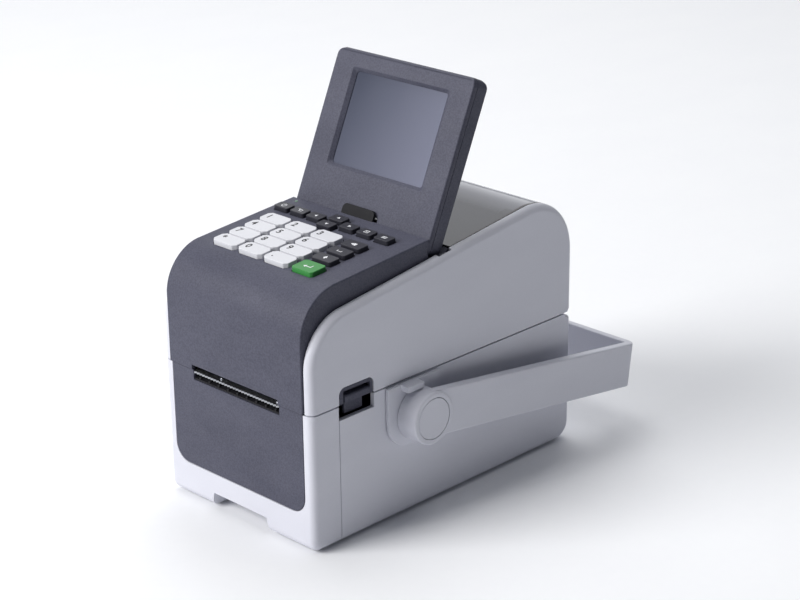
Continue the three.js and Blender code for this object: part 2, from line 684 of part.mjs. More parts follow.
function handleBody() {
  const { reach, above, below, inner, outer, cornerR, hubR, hubFrom, hubTo } = HANDLE;
  const bar = outer - inner;
  const plan = roundedRect(-outer, outer, -20, reach, [0, 0, cornerR, cornerR]);
  const r = cornerR - bar;
  const open = roundedRect(-inner, inner, -40, reach - bar, [0, 0, r, r]);
  const strap = alongZ(plan, -below, above).subtract(alongZ(open, -40, 40));
  const clear = box(WIDE, [-40, 0], [-40, 40]);
  let body = strap.subtract(clear);
  for (const side of [-1, 1]) {
    body = body.add(rodX(hubR, ...span(side, hubFrom, hubTo), 0, 0, 40));
  }
  const recess = (side) => rodX(HANDLE.capR + GAP, ...span(side, hubTo - HANDLE.capThick - GAP, 90), 0, 0, 40);
  const bore = rodX(HANDLE.studR + GAP, -90, 90, 0, 0, 24);
  return body.subtract(bothSides(recess)).subtract(bore);
}

function hubCap(side) {
  const { capR, capThick, hubTo } = HANDLE;
  return rodX(capR, ...span(side, hubTo - capThick, hubTo), 0, 0, 40);
}

function handleBracket(side) {
  const { frontY, rearY, bottomZ, cornerR, thick } = BRACKET;
  const from = HALF + GAP;
  const plate = roundedRect(frontY, rearY, bottomZ, LOWER_TOP - 0.3, [cornerR, cornerR, 0, 0]);
  const { pivotY, pivotZ, studR, hubTo, capThick } = HANDLE;
  const stud = rodX(studR, ...span(side, from, hubTo - capThick - 1), pivotY, pivotZ, 24);
  const lug = box(span(side, from, 65.8), [pivotY - 11, pivotY + 1], [pivotZ + HANDLE.hubR + 0.8, LOWER_TOP - 0.3]);
  return alongX(plate, ...span(side, from, from + thick)).add(stud).add(lug);
}

// ---- assembly ----

const SIDES = [['left', -1], ['right', 1]];

function baseMeshes() {
  const { frontY, rearY } = FOOT;
  return [
    meshOf('lower_case', lowerCase(), lightPlastic),
    meshOf('front_frame', frontFrame(), lightPlastic),
    meshOf('front_panel', frontPanel(), darkPlastic),
    meshOf('base_plate', basePlate(), darkPlastic),
    meshOf('foot_front', foot(frontY), rubber),
    meshOf('foot_rear', foot(rearY), rubber),
    meshOf('exit_lip', exitLip(), blackPlastic),
    meshOf('tear_bar', tearBar(), steel),
    meshOf('media_bay', mediaBay(), blackPlastic),
    meshOf('main_board', mainBoard(), board),
    meshOf('platen_frame', platenFrame(), steel),
    meshOf('stepper_motor', stepperMotor(), steel),
    meshOf('hinge_rod', rodX(COVER_HINGE.rodR, -46.5, 46.5, COVER_HINGE.y, COVER_HINGE.z, 16), steel),
    ...SIDES.map(([name, side]) => meshOf(`handle_bracket_${name}`, handleBracket(side), lightPlastic)),
  ];
}

function driveMeshes() {
  const { shaftR, y, z } = PLATEN;
  return [
    meshOf('platen_roller', platenRoller(), rubber),
    meshOf('platen_shaft', rodX(shaftR, -48, 46, y, z, 24), steel),
    meshOf('platen_gear', platenGear(), nylon),
    meshOf('motor_pinion', motorPinion(), nylon),
    ...SIDES.map(([name, side]) => meshOf(`media_guide_${name}`, mediaGuide(side), blackPlastic)),
  ];
}

function coverMeshes() {
  return [
    meshOf('cover_shell', coverShell(), lightPlastic),
    meshOf('keypad_deck', keypadDeck(), darkPlastic),
    meshOf('media_window', mediaWindow(), smoked),
    meshOf('print_head', printHead(), steel),
    meshOf('keypad_board', keypadBoard(), board),
    ...SIDES.map(([name, side]) => meshOf(`release_bezel_${name}`, releaseBezel(side), darkPlastic)),
    ...SIDES.map(([name, side]) => meshOf(`release_lever_${name}`, releaseLever(side), darkPlastic)),
    ...KEYS.map(({ name, size, x, y, material }) => meshOf(name, onDeck(keyCap(size), x, y), material)),
  ];
}

function displayGroup() {
  const group = new THREE.Group();
  group.position.set(0, DISPLAY.axisY, DISPLAY.axisZ);
  group.rotation.x = -DISPLAY.tilt;
  group.add(
    meshOf('display_bezel', displayBezel(), darkPlastic),
    meshOf('display_back', displayBack(), darkPlastic),
    meshOf('lcd_panel', lcdPanel(), screenGlass),
  );
  return group;
}

function handleGroup() {
  const group = new THREE.Group();
  group.position.set(0, HANDLE.pivotY, HANDLE.pivotZ);
  group.rotation.x = -HANDLE.drop;
  group.add(meshOf('handle', handleBody(), lightPlastic));
  for (const [name, side] of SIDES) {
    group.add(meshOf(`hub_cap_${name}`, hubCap(side), lightPlastic));
  }
  return group;
}

const { pivotY, reach, above, drop } = HANDLE;
const REAR_Y = pivotY + reach * Math.cos(drop) + above * Math.sin(drop);
const MIDDLE_Y = (REAR_Y - DECK.proud) / 2;

const group = new THREE.Group();
group.position.set(0, -MIDDLE_Y, FOOT.proud);
group.add(...baseMeshes(), ...driveMeshes(), ...coverMeshes(), displayGroup(), handleGroup());

export default group;
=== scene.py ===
"""Desktop label printer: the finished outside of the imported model, its materials and the studio.

Every piece is drawn in millimetres in the case's own frame (x to the right, y back from the
front face, z up from the underside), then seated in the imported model's frame in metres.
"""

from __future__ import annotations

import json
import logging
import math
from dataclasses import dataclass
from enum import Enum
from typing import Iterable, Sequence

import bmesh
import bpy
from mathutils import Matrix, Vector

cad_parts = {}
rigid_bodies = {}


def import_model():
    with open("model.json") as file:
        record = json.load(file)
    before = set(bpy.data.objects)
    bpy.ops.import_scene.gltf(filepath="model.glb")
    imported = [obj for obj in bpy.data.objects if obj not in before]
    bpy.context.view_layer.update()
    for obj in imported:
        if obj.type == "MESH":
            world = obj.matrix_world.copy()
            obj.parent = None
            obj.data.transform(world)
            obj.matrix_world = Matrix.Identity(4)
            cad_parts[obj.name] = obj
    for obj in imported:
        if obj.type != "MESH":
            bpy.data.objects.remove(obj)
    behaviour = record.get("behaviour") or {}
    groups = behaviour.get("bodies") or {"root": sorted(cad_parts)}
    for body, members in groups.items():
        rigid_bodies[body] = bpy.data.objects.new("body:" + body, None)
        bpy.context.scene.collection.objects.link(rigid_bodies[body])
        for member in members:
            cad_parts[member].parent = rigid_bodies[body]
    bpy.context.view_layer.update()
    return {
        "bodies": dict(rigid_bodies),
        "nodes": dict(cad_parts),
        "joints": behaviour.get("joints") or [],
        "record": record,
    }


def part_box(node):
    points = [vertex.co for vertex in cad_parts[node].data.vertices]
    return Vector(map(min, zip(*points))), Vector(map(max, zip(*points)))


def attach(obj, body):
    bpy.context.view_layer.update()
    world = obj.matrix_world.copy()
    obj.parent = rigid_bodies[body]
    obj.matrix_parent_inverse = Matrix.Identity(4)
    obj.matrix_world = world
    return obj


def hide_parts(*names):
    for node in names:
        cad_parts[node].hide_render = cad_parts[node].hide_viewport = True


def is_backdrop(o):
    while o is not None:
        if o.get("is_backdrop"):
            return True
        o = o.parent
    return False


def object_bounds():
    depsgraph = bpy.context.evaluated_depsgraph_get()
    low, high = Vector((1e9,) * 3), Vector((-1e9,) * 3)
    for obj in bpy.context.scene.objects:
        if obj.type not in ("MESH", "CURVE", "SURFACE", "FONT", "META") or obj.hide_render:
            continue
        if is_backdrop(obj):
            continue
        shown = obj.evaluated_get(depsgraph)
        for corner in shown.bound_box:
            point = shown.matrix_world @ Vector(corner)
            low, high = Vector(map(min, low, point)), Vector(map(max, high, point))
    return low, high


MM = 0.001
SIDES = (("left", -1), ("right", 1))
ACROSS = (-80, 80)
log = logging.getLogger("label_printer")

Span = tuple[float, float]
Colour = tuple[float, float, float, float]


# ---- selecting and shaping ----


class Axis(Enum):
    """A direction of the case."""

    X = 0
    Y = 1
    Z = 2


class Part(Enum):
    """What an edit-mode operator works on."""

    CORNER = "VERT"
    EDGE = "EDGE"
    FACE = "FACE"


class Joining(Enum):
    """How two solids are combined."""

    CUT = "DIFFERENCE"
    ADD = "UNION"
    KEEP = "INTERSECT"


@dataclass(frozen=True)
class Where:
    """Says which corners, edges or faces to work on, by the place of all their corners."""

    x: float | Span | None = None
    y: float | Span | None = None
    z: float | Span | None = None
    along: Axis | None = None
    slack: float = 0.03

    def takes(self, corners: Sequence[Vector]) -> bool:
        """Tells whether a corner, edge or face is meant.

        Args:
            corners: The places of its corners.

        Returns:
            True if every corner lies in the spans, and an edge runs along the axis asked for.
        """
        for index, span in enumerate((self.x, self.y, self.z)):
            if span is None:
                continue
            low, high = span if isinstance(span, tuple) else (span, span)
            if any(not low - self.slack <= c[index] <= high + self.slack for c in corners):
                return False
        if self.along is None:
            return True
        run = corners[1] - corners[0]
        return abs(run[self.along.value]) > 0.999 * run.length


@dataclass(frozen=True)
class Seat:
    """Where a piece drawn flat goes on the case: a point in millimetres and a turn about X."""

    x: float = 0.0
    y: float = 0.0
    z: float = 0.0
    turn: float = 0.0


def clear_selection() -> None:
    """Leaves edit mode and deselects everything."""
    if bpy.context.object is not None and bpy.context.object.mode != "OBJECT":
        bpy.ops.object.mode_set(mode="OBJECT")
    bpy.ops.object.select_all(action="DESELECT")


def mirrored(side: int, a: float, b: float) -> Span:
    """Gives the span from a to b on the right, or its mirror image on the left."""
    return (-b, -a) if side < 0 else (a, b)


class Workpiece:
    """A mesh on the bench, shaped with Blender's own tools. Sizes are in millimetres."""

    def __init__(self, name: str) -> None:
        """Takes the object just added as the workpiece.

        Args:
            name: The name of the object and of its mesh.
        """
        self.body: bpy.types.Object = bpy.context.object
        self.body.name = name
        self.body.data.name = name

    @classmethod
    def block(cls, name: str, x: Span, y: Span, z: Span) -> Workpiece:
        """Adds a block that fills the spans given.

        Args:
            name: The workpiece's name.
            x: Its span along X.
            y: Its span along Y.
            z: Its span along Z.

        Returns:
            The block.
        """
        clear_selection()
        bpy.ops.mesh.primitive_cube_add(
            size=1,
            location=[(low + high) / 2 for low, high in (x, y, z)],
            scale=[high - low for low, high in (x, y, z)],
        )
        bpy.ops.object.transform_apply(location=True, rotation=True, scale=True)
        return cls(name)

    @classmethod
    def rod(cls, name: str, radius: float, x: Span, y: float, z: float, sides: int = 64) -> Workpiece:
        """Adds a round bar along X, centred on (y, z).

        Args:
            name: The workpiece's name.
            radius: Its radius.
            x: Its span along X.
            y: The Y of its centre line.
            z: The Z of its centre line.
            sides: How many facets it has round it.

        Returns:
            The bar.
        """
        clear_selection()
        bpy.ops.mesh.primitive_cylinder_add(
            vertices=sides,
            radius=radius,
            depth=x[1] - x[0],
            location=((x[0] + x[1]) / 2, y, z),
            rotation=(0, math.pi / 2, 0),
        )
        bpy.ops.object.transform_apply(location=True, rotation=True, scale=True)
        return cls(name)

    @classmethod
    def disc(cls, name: str, radius: float, centre: Sequence[float], thick: float, sides: int = 48,
             turn: float = 0.0) -> Workpiece:
        """Adds a round plate that lies flat, its underside at the centre given.

        Args:
            name: The workpiece's name.
            radius: Its radius.
            centre: The middle of its underside.
            thick: Its thickness.
            sides: How many corners it has.
            turn: Its turn about Z, in radians.

        Returns:
            The plate.
        """
        clear_selection()
        x, y, z = centre
        bpy.ops.mesh.primitive_cylinder_add(
            vertices=sides,
            radius=radius,
            depth=thick,
            location=(x, y, z + thick / 2),
            rotation=(0, 0, turn),
        )
        bpy.ops.object.transform_apply(location=True, rotation=True, scale=True)
        return cls(name)

    @classmethod
    def lettering(cls, name: str, text: str, height: float, centre: Sequence[float]) -> Workpiece:
        """Adds a short raised legend, made a mesh, centred on the point given.

        Args:
            name: The workpiece's name.
            text: What it says.
            height: The size of the type.
            centre: The middle of the legend.

        Returns:
            The legend.
        """
        clear_selection()
        bpy.ops.object.text_add(location=centre)
        glyph = bpy.context.object.data
        glyph.body = text
        glyph.size = height
        glyph.align_x = "CENTER"
        glyph.align_y = "CENTER"
        glyph.extrude = 0.035
        glyph.offset = 0.1
        bpy.ops.object.convert(target="MESH")
        bpy.ops.object.transform_apply(location=True, rotation=True, scale=True)
        return cls(name)

    @classmethod
    def gather(cls, name: str, pieces: Sequence[Workpiece]) -> Workpiece:
        """Makes several workpieces one object, without joining their surfaces.

        Args:
            name: The name of the whole.
            pieces: The workpieces, which it uses up.

        Returns:
            The whole.
        """
        clear_selection()
        for piece in pieces:
            piece.body.select_set(True)
        bpy.context.view_layer.objects.active = pieces[0].body
        bpy.ops.object.join()
        return cls(name)

    def copy(self, name: str) -> Workpiece:
        """Gives a second workpiece of the same shape, with its own mesh.

        Args:
            name: The copy's name.

        Returns:
            The copy.
        """
        self.activate()
        bpy.ops.object.duplicate(linked=False)
        return Workpiece(name)

    def activate(self) -> None:
        """Makes this the only selected object."""
        clear_selection()
        self.body.select_set(True)
        bpy.context.view_layer.objects.active = self.body

    def pick(self, part: Part, where: Where) -> None:
        """Opens edit mode and selects the corners, edges or faces that are meant.

        Args:
            part: Whether corners, edges or faces are picked.
            where: Which elements are meant.
        """
        self.activate()
        bpy.ops.object.mode_set(mode="EDIT")
        bpy.ops.mesh.select_mode(type=part.value)
        bpy.ops.mesh.select_all(action="DESELECT")
        mesh = bmesh.from_edit_mesh(self.body.data)
        groups = {Part.CORNER: mesh.verts, Part.EDGE: mesh.edges, Part.FACE: mesh.faces}
        for element in groups[part]:
            corners = [element.co] if part is Part.CORNER else [v.co for v in element.verts]
            if where.takes(corners):
                element.select_set(True)
        mesh.select_flush_mode()
        bmesh.update_edit_mesh(self.body.data)

    def slide(self, where: Where, by: Sequence[float]) -> Workpiece:
        """Moves the corners that are meant.

        Args:
            where: Which elements are meant.
            by: How far, along X, Y and Z.

        Returns:
            This workpiece.
        """
        self.pick(Part.CORNER, where)
        bpy.ops.transform.translate(value=by)
        bpy.ops.object.mode_set(mode="OBJECT")
        return self

    def round(self, where: Where, offset: float, segments: int = 8) -> Workpiece:
        """Rounds the edges that are meant, or chamfers them with one segment.

        Args:
            where: Which elements are meant.
            offset: How far the rounding reaches into each face.
            segments: How many facets the rounding has.

        Returns:
            This workpiece.
        """
        self.pick(Part.EDGE, where)
        bpy.ops.mesh.bevel(
            offset=offset,
            offset_type="OFFSET",
            segments=segments,
            profile=0.5,
            affect="EDGES",
            clamp_overlap=False,
        )
        bpy.ops.object.mode_set(mode="OBJECT")
        return self

    def inset(self, where: Where, thickness: float, depth: float = 0.0) -> Workpiece:
        """Draws a border inside the faces that are meant and raises or sinks what it encloses.

        Args:
            where: Which elements are meant.
            thickness: The width of the border.
            depth: How far the middle is raised, or sunk if negative.

        Returns:
            This workpiece.
        """
        self.pick(Part.FACE, where)
        bpy.ops.mesh.inset(thickness=thickness, depth=depth)
        bpy.ops.object.mode_set(mode="OBJECT")
        return self

    def extrude(self, where: Where, by: Sequence[float]) -> Workpiece:
        """Pulls out the faces that are meant.

        Args:
            where: Which elements are meant.
            by: How far, along X, Y and Z.

        Returns:
            This workpiece.
        """
        self.pick(Part.FACE, where)
        bpy.ops.mesh.extrude_region_move(TRANSFORM_OT_translate={"value": by})
        bpy.ops.object.mode_set(mode="OBJECT")
        return self

    def split(self, point: Sequence[float], outward: Sequence[float]) -> Workpiece:
        """Cuts the solid at a plane, throws away the side that outward points to, and closes it.

        Args:
            point: A point on the plane.
            outward: The side that is thrown away.

        Returns:
            This workpiece.
        """
        self.activate()
        bpy.ops.object.mode_set(mode="EDIT")
        bpy.ops.mesh.select_all(action="SELECT")
        bpy.ops.mesh.bisect(plane_co=point, plane_no=outward, use_fill=True, clear_outer=True)
        bpy.ops.object.mode_set(mode="OBJECT")
        return self

    def combine(self, how: Joining, tool: Workpiece) -> Workpiece:
        """Cuts, adds or keeps what another solid covers, and throws that solid away.

        Args:
            how: What is done with the space they share.
            tool: The other solid, which is used up.

        Returns:
            This workpiece.
        """
        self.activate()
        modifier = self.body.modifiers.new(how.name, "BOOLEAN")
        modifier.operation = how.value
        modifier.solver = "EXACT"
        modifier.object = tool.body
        bpy.ops.object.modifier_apply(modifier=modifier.name)
        bpy.data.objects.remove(tool.body)
        return self

    def cut(self, tool: Workpiece) -> Workpiece:
        """Takes another solid away from this one."""
        return self.combine(Joining.CUT, tool)

    def add(self, tool: Workpiece) -> Workpiece:
        """Joins another solid to this one."""
        return self.combine(Joining.ADD, tool)

    def cut_block(self, x: Span, y: Span, z: Span) -> Workpiece:
        """Takes a plain block away."""
        return self.cut(Workpiece.block("tool", x, y, z))

    def add_block(self, x: Span, y: Span, z: Span) -> Workpiece:
        """Joins a plain block on."""
        return self.add(Workpiece.block("tool", x, y, z))

    def weld(self, distance: float = 0.01) -> Workpiece:
        """Merges corners that coincide and dissolves edges inside flat faces.

        Args:
            distance: How near corners must be to merge.

        Returns:
            This workpiece.
        """
        self.activate()
        bpy.ops.object.mode_set(mode="EDIT")
        bpy.ops.mesh.select_all(action="SELECT")
        bpy.ops.mesh.remove_doubles(threshold=distance)
        bpy.ops.mesh.dissolve_limited(angle_limit=math.radians(0.4))
        bpy.ops.object.mode_set(mode="OBJECT")
        return self

    def soften(self, width: float, segments: int = 2, angle: float = 34.0) -> Workpiece:
        """Rounds every sharp edge a little, as a moulded edge is.

        Args:
            width: The width of the rounding, in millimetres.
            segments: How many facets the rounding has.
            angle: The least angle of a sharp edge, in degrees.

        Returns:
            This workpiece.
        """
        self.weld()
        self.activate()
        modifier = self.body.modifiers.new("edge", "BEVEL")
        modifier.width = width
        modifier.segments = segments
        modifier.limit_method = "ANGLE"
        modifier.angle_limit = math.radians(angle)
        modifier.use_clamp_overlap = False
        modifier.miter_outer = "MITER_ARC"
        bpy.ops.object.modifier_apply(modifier=modifier.name)
        return self

    def triangulate(self) -> Workpiece:
        """Divides many-sided faces, so that a face with holes near each other shades evenly.

        Returns:
            This workpiece.
        """
        self.activate()
        bpy.ops.object.mode_set(mode="EDIT")
        bpy.ops.mesh.select_all(action="SELECT")
        bpy.ops.mesh.quads_convert_to_tris(quad_method="BEAUTY", ngon_method="BEAUTY")
        bpy.ops.object.mode_set(mode="OBJECT")
        return self

    def smooth(self, angle: float = 32.0) -> Workpiece:
        """Shades the surface smooth and keeps flat faces flat.

        Args:
            angle: The steepest angle that is shaded smooth, in degrees.

        Returns:
            This workpiece.
        """
        self.activate()
        bpy.ops.object.shade_smooth_by_angle(angle=math.radians(angle))
        modifier = self.body.modifiers.new("normals", "WEIGHTED_NORMAL")
        modifier.keep_sharp = True
        bpy.ops.object.modifier_apply(modifier=modifier.name)
        return self

    def paint(self, material: bpy.types.Material) -> Workpiece:
        """Gives the whole workpiece one material.

        Args:
            material: The material.

        Returns:
            This workpiece.
        """
        self.body.data.materials.clear()
        self.body.data.materials.append(material)
        return self


def lay(work: Workpiece, seat: Seat) -> Workpiece:
    """Turns and moves a workpiece on the bench.

    Args:
        work: The workpiece, drawn flat.
        seat: Where it goes, in millimetres.

    Returns:
        The same workpiece.
    """
    work.activate()
    work.body.rotation_euler = (math.radians(seat.turn), 0.0, 0.0)
    work.body.location = (seat.x, seat.y, seat.z)
    bpy.ops.object.transform_apply(location=True, rotation=True, scale=True)
    return work


# ---- materials ----


def tone(red: int, green: int, blue: int) -> Colour:
    """Turns an 8-bit colour into the linear one that shaders read.

    Args:
        red: The red level, 0 to 255.
        green: The green level.
        blue: The blue level.

    Returns:
        The colour with full opacity.
    """

    def linear(level: int) -> float:
        share = level / 255
        return share / 12.92 if share <= 0.04045 else ((share + 0.055) / 1.055) ** 2.4

    return (linear(red), linear(green), linear(blue), 1.0)


class Recipe:
    """Lays out the nodes of one material on Object coordinates. Sizes are in millimetres."""

    def __init__(self, name: str) -> None:
        """Starts a material that holds only its shader and its output.

        Args:
            name: The material's name.
        """
        self.material = bpy.data.materials.new(name)
        self.material.use_nodes = True
        self.tree = self.material.node_tree
        self.shader = self.tree.nodes["Principled BSDF"]
        self.place = self.node("ShaderNodeTexCoord").outputs["Object"]

    def node(self, kind: str, **inputs: object) -> bpy.types.Node:
        """Adds a node and sets its inputs by name, with underscores for spaces.

        Args:
            kind: The node's type.
            **inputs: A value or a socket for each input.

        Returns:
            The node.
        """
        made = self.tree.nodes.new(kind)
        for name, value in inputs.items():
            self.feed(made.inputs[name.replace("_", " ")], value)
        return made

    def feed(self, socket: bpy.types.NodeSocket, value: object) -> None:
        """Links a socket to another, or sets its value.

        Args:
            socket: The socket to set.
            value: A value, or the socket that feeds it.
        """
        if isinstance(value, bpy.types.NodeSocket):
            self.tree.links.new(value, socket)
        else:
            socket.default_value = value

    def spread(self, stretch: Sequence[float], turn: Sequence[float] = (0, 0, 0)) -> bpy.types.NodeSocket:
        """Gives coordinates stretched along the case's axes, and turned in degrees.

        Args:
            stretch: The scale along X, Y and Z.
            turn: The turn about X, Y and Z.

        Returns:
            The coordinates.
        """
        angles = [math.radians(angle) for angle in turn]
        mapping = self.node("ShaderNodeMapping", Vector=self.place, Scale=tuple(stretch), Rotation=angles)
        return mapping.outputs["Vector"]

    def noise(self, size: float, detail: float = 2.0, place: bpy.types.NodeSocket | None = None,
              rough: float = 0.5) -> bpy.types.NodeSocket:
        """Gives cloudy noise whose patches are about the size given.

        Args:
            size: How wide a patch is, in millimetres.
            detail: How many finer layers it has.
            place: The coordinates it is laid on, or the plain ones.
            rough: How strong the finer layers are.

        Returns:
            The noise, about 0 to 1.
        """
        texture = self.node(
            "ShaderNodeTexNoise",
            Vector=place or self.place,
            Scale=1 / (size * MM * 2),
            Detail=detail,
            Roughness=rough,
        )
        return texture.outputs["Fac"]

    def cells(self, size: float) -> bpy.types.NodeSocket:
        """Gives the distance to scattered points about the given distance apart."""
        texture = self.node("ShaderNodeTexVoronoi", Vector=self.place, Scale=1 / (size * MM))
        return texture.outputs["Distance"]

    def ramp(self, value: bpy.types.NodeSocket, source: Span, target: Span) -> bpy.types.NodeSocket:
        """Maps a value from one range to another and keeps it there.

        Args:
            value: What is mapped.
            source: The range it comes from.
            target: The range it goes to.

        Returns:
            The mapped value.
        """
        low, high = source
        first, last = target
        made = self.node("ShaderNodeMapRange", Value=value, From_Min=low, From_Max=high, To_Min=first,
                         To_Max=last)
        return made.outputs["Result"]

    def sum(self, how: str, first: object, second: object) -> bpy.types.NodeSocket:
        """Does one step of arithmetic.

        Args:
            how: The name of the operation.
            first: A number or a socket.
            second: A number or a socket.

        Returns:
            The result.
        """
        made = self.tree.nodes.new("ShaderNodeMath")
        made.operation = how
        self.feed(made.inputs[0], first)
        self.feed(made.inputs[1], second)
        return made.outputs["Value"]

    def coordinate(self, axis: Axis) -> bpy.types.NodeSocket:
        """Gives one coordinate of the surface, in metres."""
        return self.node("ShaderNodeSeparateXYZ", Vector=self.place).outputs[axis.value]

    def mix(self, share: bpy.types.NodeSocket, first: object, second: object) -> bpy.types.NodeSocket:
        """Blends two colours.

        Args:
            share: How much of the second colour there is.
            first: A colour or a socket.
            second: A colour or a socket.

        Returns:
            The blend.
        """
        made = self.tree.nodes.new("ShaderNodeMix")
        made.data_type = "RGBA"
        self.feed(made.inputs["Factor"], share)
        self.feed(made.inputs[6], first)
        self.feed(made.inputs[7], second)
        return made.outputs[2]

    def relief(self, height: bpy.types.NodeSocket, depth: float, strength: float,
               under: bpy.types.NodeSocket | None = None) -> bpy.types.NodeSocket:
        """Raises the surface by a height pattern, on top of another relief if one is given.

        Args:
            height: The pattern.
            depth: Its depth in millimetres.
            strength: How strongly it shows, 0 to 1.
            under: The normal of the relief below it.

        Returns:
            The normal.
        """
        bump = self.node("ShaderNodeBump", Height=height, Distance=depth * MM, Strength=strength)
        if under is not None:
            self.feed(bump.inputs["Normal"], under)
        return bump.outputs["Normal"]

    def finish(self, **inputs: object) -> bpy.types.Material:
        """Feeds the shader and hands the material over.

        Args:
            **inputs: A value or a socket for each of its inputs.

        Returns:
            The finished material.
        """
        for name, value in inputs.items():
            self.feed(self.shader.inputs[name.replace("_", " ")], value)
        return self.material


@dataclass(frozen=True)
class Moulded:
    """Injection-moulded plastic with a spark-eroded grain, faint flow marks and light scuffs."""

    name: str
    face: Colour
    shade: Colour
    gloss: Span = (0.42, 0.55)
    grain: float = 0.35
    depth: float = 0.02
    speck: float = 0.25
    shine: float = 0.35

    def material(self) -> bpy.types.Material:
        """Builds the material.

        Returns:
            The material.
        """
        recipe = Recipe(self.name)
        grain = recipe.noise(self.grain, 3.0)
        flow = recipe.noise(26.0, 2.0, recipe.spread((1.0, 0.6, 2.2)))
        scuffs = recipe.noise(4.0, 5.0, recipe.spread((0.5, 1.6, 1.0), (20, 10, 35)), 0.7)
        specks = recipe.ramp(grain, (0.38, 0.66), (0.0, self.speck))
        patches = recipe.ramp(flow, (0.35, 0.65), (0.0, 0.35))
        colour = recipe.mix(recipe.sum("ADD", specks, patches), self.face, self.shade)
        low, high = self.gloss
        gloss = recipe.ramp(scuffs, (0.3, 0.7), (low, high))
        waves = recipe.relief(flow, 0.05, 0.25)
        normal = recipe.relief(grain, self.depth, 0.55, waves)
        recipe.shader.inputs["Specular IOR Level"].default_value = self.shine
        return recipe.finish(Base_Color=colour, Roughness=gloss, Normal=normal)


@dataclass(frozen=True)
class Metal:
    """Bare metal with fine drawn lines along one axis."""

    name: str
    face: Colour
    shade: Colour
    gloss: Span = (0.25, 0.42)
    stretch: tuple[float, float, float] = (0.05, 1.0, 1.0)

    def material(self) -> bpy.types.Material:
        """Builds the material.

        Returns:
            The material.
        """
        recipe = Recipe(self.name)
        lines = recipe.noise(0.25, 4.0, recipe.spread(self.stretch), 0.65)
        stains = recipe.noise(9.0, 3.0)
        colour = recipe.mix(recipe.ramp(stains, (0.35, 0.7), (0.0, 0.6)), self.face, self.shade)
        gloss = recipe.ramp(lines, (0.3, 0.7), self.gloss)
        normal = recipe.relief(lines, 0.012, 0.4)
        return recipe.finish(Base_Color=colour, Roughness=gloss, Normal=normal, Metallic=1.0)


@dataclass(frozen=True)
class Rubber:
    """Soft black rubber with a dull, slightly dusty skin."""

    name: str
    face: Colour
    dust: Colour

    def material(self) -> bpy.types.Material:
        """Builds the material.

        Returns:
            The material.
        """
        recipe = Recipe(self.name)
        skin = recipe.noise(0.6, 4.0)
        dust = recipe.noise(7.0, 5.0, rough=0.7)
        colour = recipe.mix(recipe.ramp(dust, (0.45, 0.75), (0.0, 0.55)), self.face, self.dust)
        gloss = recipe.ramp(dust, (0.3, 0.7), (0.72, 0.92))
        return recipe.finish(Base_Color=colour, Roughness=gloss, Normal=recipe.relief(skin, 0.03, 0.5))


@dataclass(frozen=True)
class SmokedPane:
    """Smoked, polished window that darkens into its painted border, with a painted reflection that makes it
    paler towards its rear.
    """

    name: str
    # clear holds the near-white colour of a painted reflection, laid towards the rear of the pane
    clear: Colour
    smoke: Colour
    border: Colour
    half_width: float

    def material(self) -> bpy.types.Material:
        """Builds the material.

        Returns:
            The material.
        """
        recipe = Recipe(self.name)
        cloud = recipe.noise(30.0, 2.0)
        across = recipe.sum("ABSOLUTE", recipe.coordinate(Axis.X), 0.0)
        edge = self.half_width * MM
        rim = recipe.ramp(across, (edge - 1.6 * MM, edge - 1.2 * MM), (0.0, 1.0))
        # painted reflection: the pane is painted paler, up to the clear colour, towards its rear crest
        length = recipe.ramp(recipe.coordinate(Axis.Y), (0.03, 0.062), (0.0, 1.0))
        share = recipe.sum("MULTIPLY", length, recipe.ramp(cloud, (0.2, 0.8), (0.7, 1.0)))
        colour = recipe.mix(share, self.smoke, self.clear)
        wall = recipe.ramp(across, (edge - 6.8 * MM, edge - 6.4 * MM), (0.0, 0.4))
        ahead = recipe.ramp(recipe.coordinate(Axis.Y), (0.036, 0.038), (1.0, 0.0))
        colour = recipe.mix(recipe.sum("MULTIPLY", wall, ahead), colour, self.border)
        colour = recipe.mix(rim, colour, self.border)
        gloss = recipe.ramp(recipe.noise(3.0, 4.0), (0.3, 0.7), (0.1, 0.2))
        normal = recipe.relief(cloud, 0.2, 0.12)
        recipe.shader.inputs["Coat Weight"].default_value = 0.2
        recipe.shader.inputs["Coat Roughness"].default_value = 0.06
        return recipe.finish(Base_Color=colour, Roughness=gloss, Normal=normal)


@dataclass(frozen=True)
class ScreenGlass:
    """Switched-off display glass with a black border, and a painted reflection that makes it paler towards
    one corner.
    """

    name: str
    deep: Colour
    # pale is the colour of the painted reflection across one corner of the glass
    pale: Colour
    border: Colour
    half_width: float

    def material(self) -> bpy.types.Material:
        """Builds the material.

        Returns:
            The material.
        """
        recipe = Recipe(self.name)
        across = recipe.coordinate(Axis.X)
        up = recipe.coordinate(Axis.Z)
        # painted reflection: a sweep across the glass from the deep colour to the pale one towards one corner
        reflection_sweep = recipe.sum("SUBTRACT", across, recipe.sum("MULTIPLY", up, 0.55))
        share = recipe.ramp(reflection_sweep, (-0.15, -0.05), (0.0, 1.0))
        colour = recipe.mix(share, self.deep, self.pale)
        edge = recipe.sum("ABSOLUTE", across, 0.0)
        half = self.half_width * MM
        rim = recipe.ramp(edge, (half, half + 0.2 * MM), (0.0, 1.0))
        colour = recipe.mix(rim, colour, self.border)
        smears = recipe.noise(12.0, 4.0, recipe.spread((1.0, 1.0, 0.4), (0, 30, 0)))
        gloss = recipe.ramp(smears, (0.35, 0.7), (0.3, 0.42))
        recipe.shader.inputs["Specular IOR Level"].default_value = 0.22
        return recipe.finish(Base_Color=colour, Roughness=gloss, Normal=recipe.relief(smears, 0.02, 0.1))


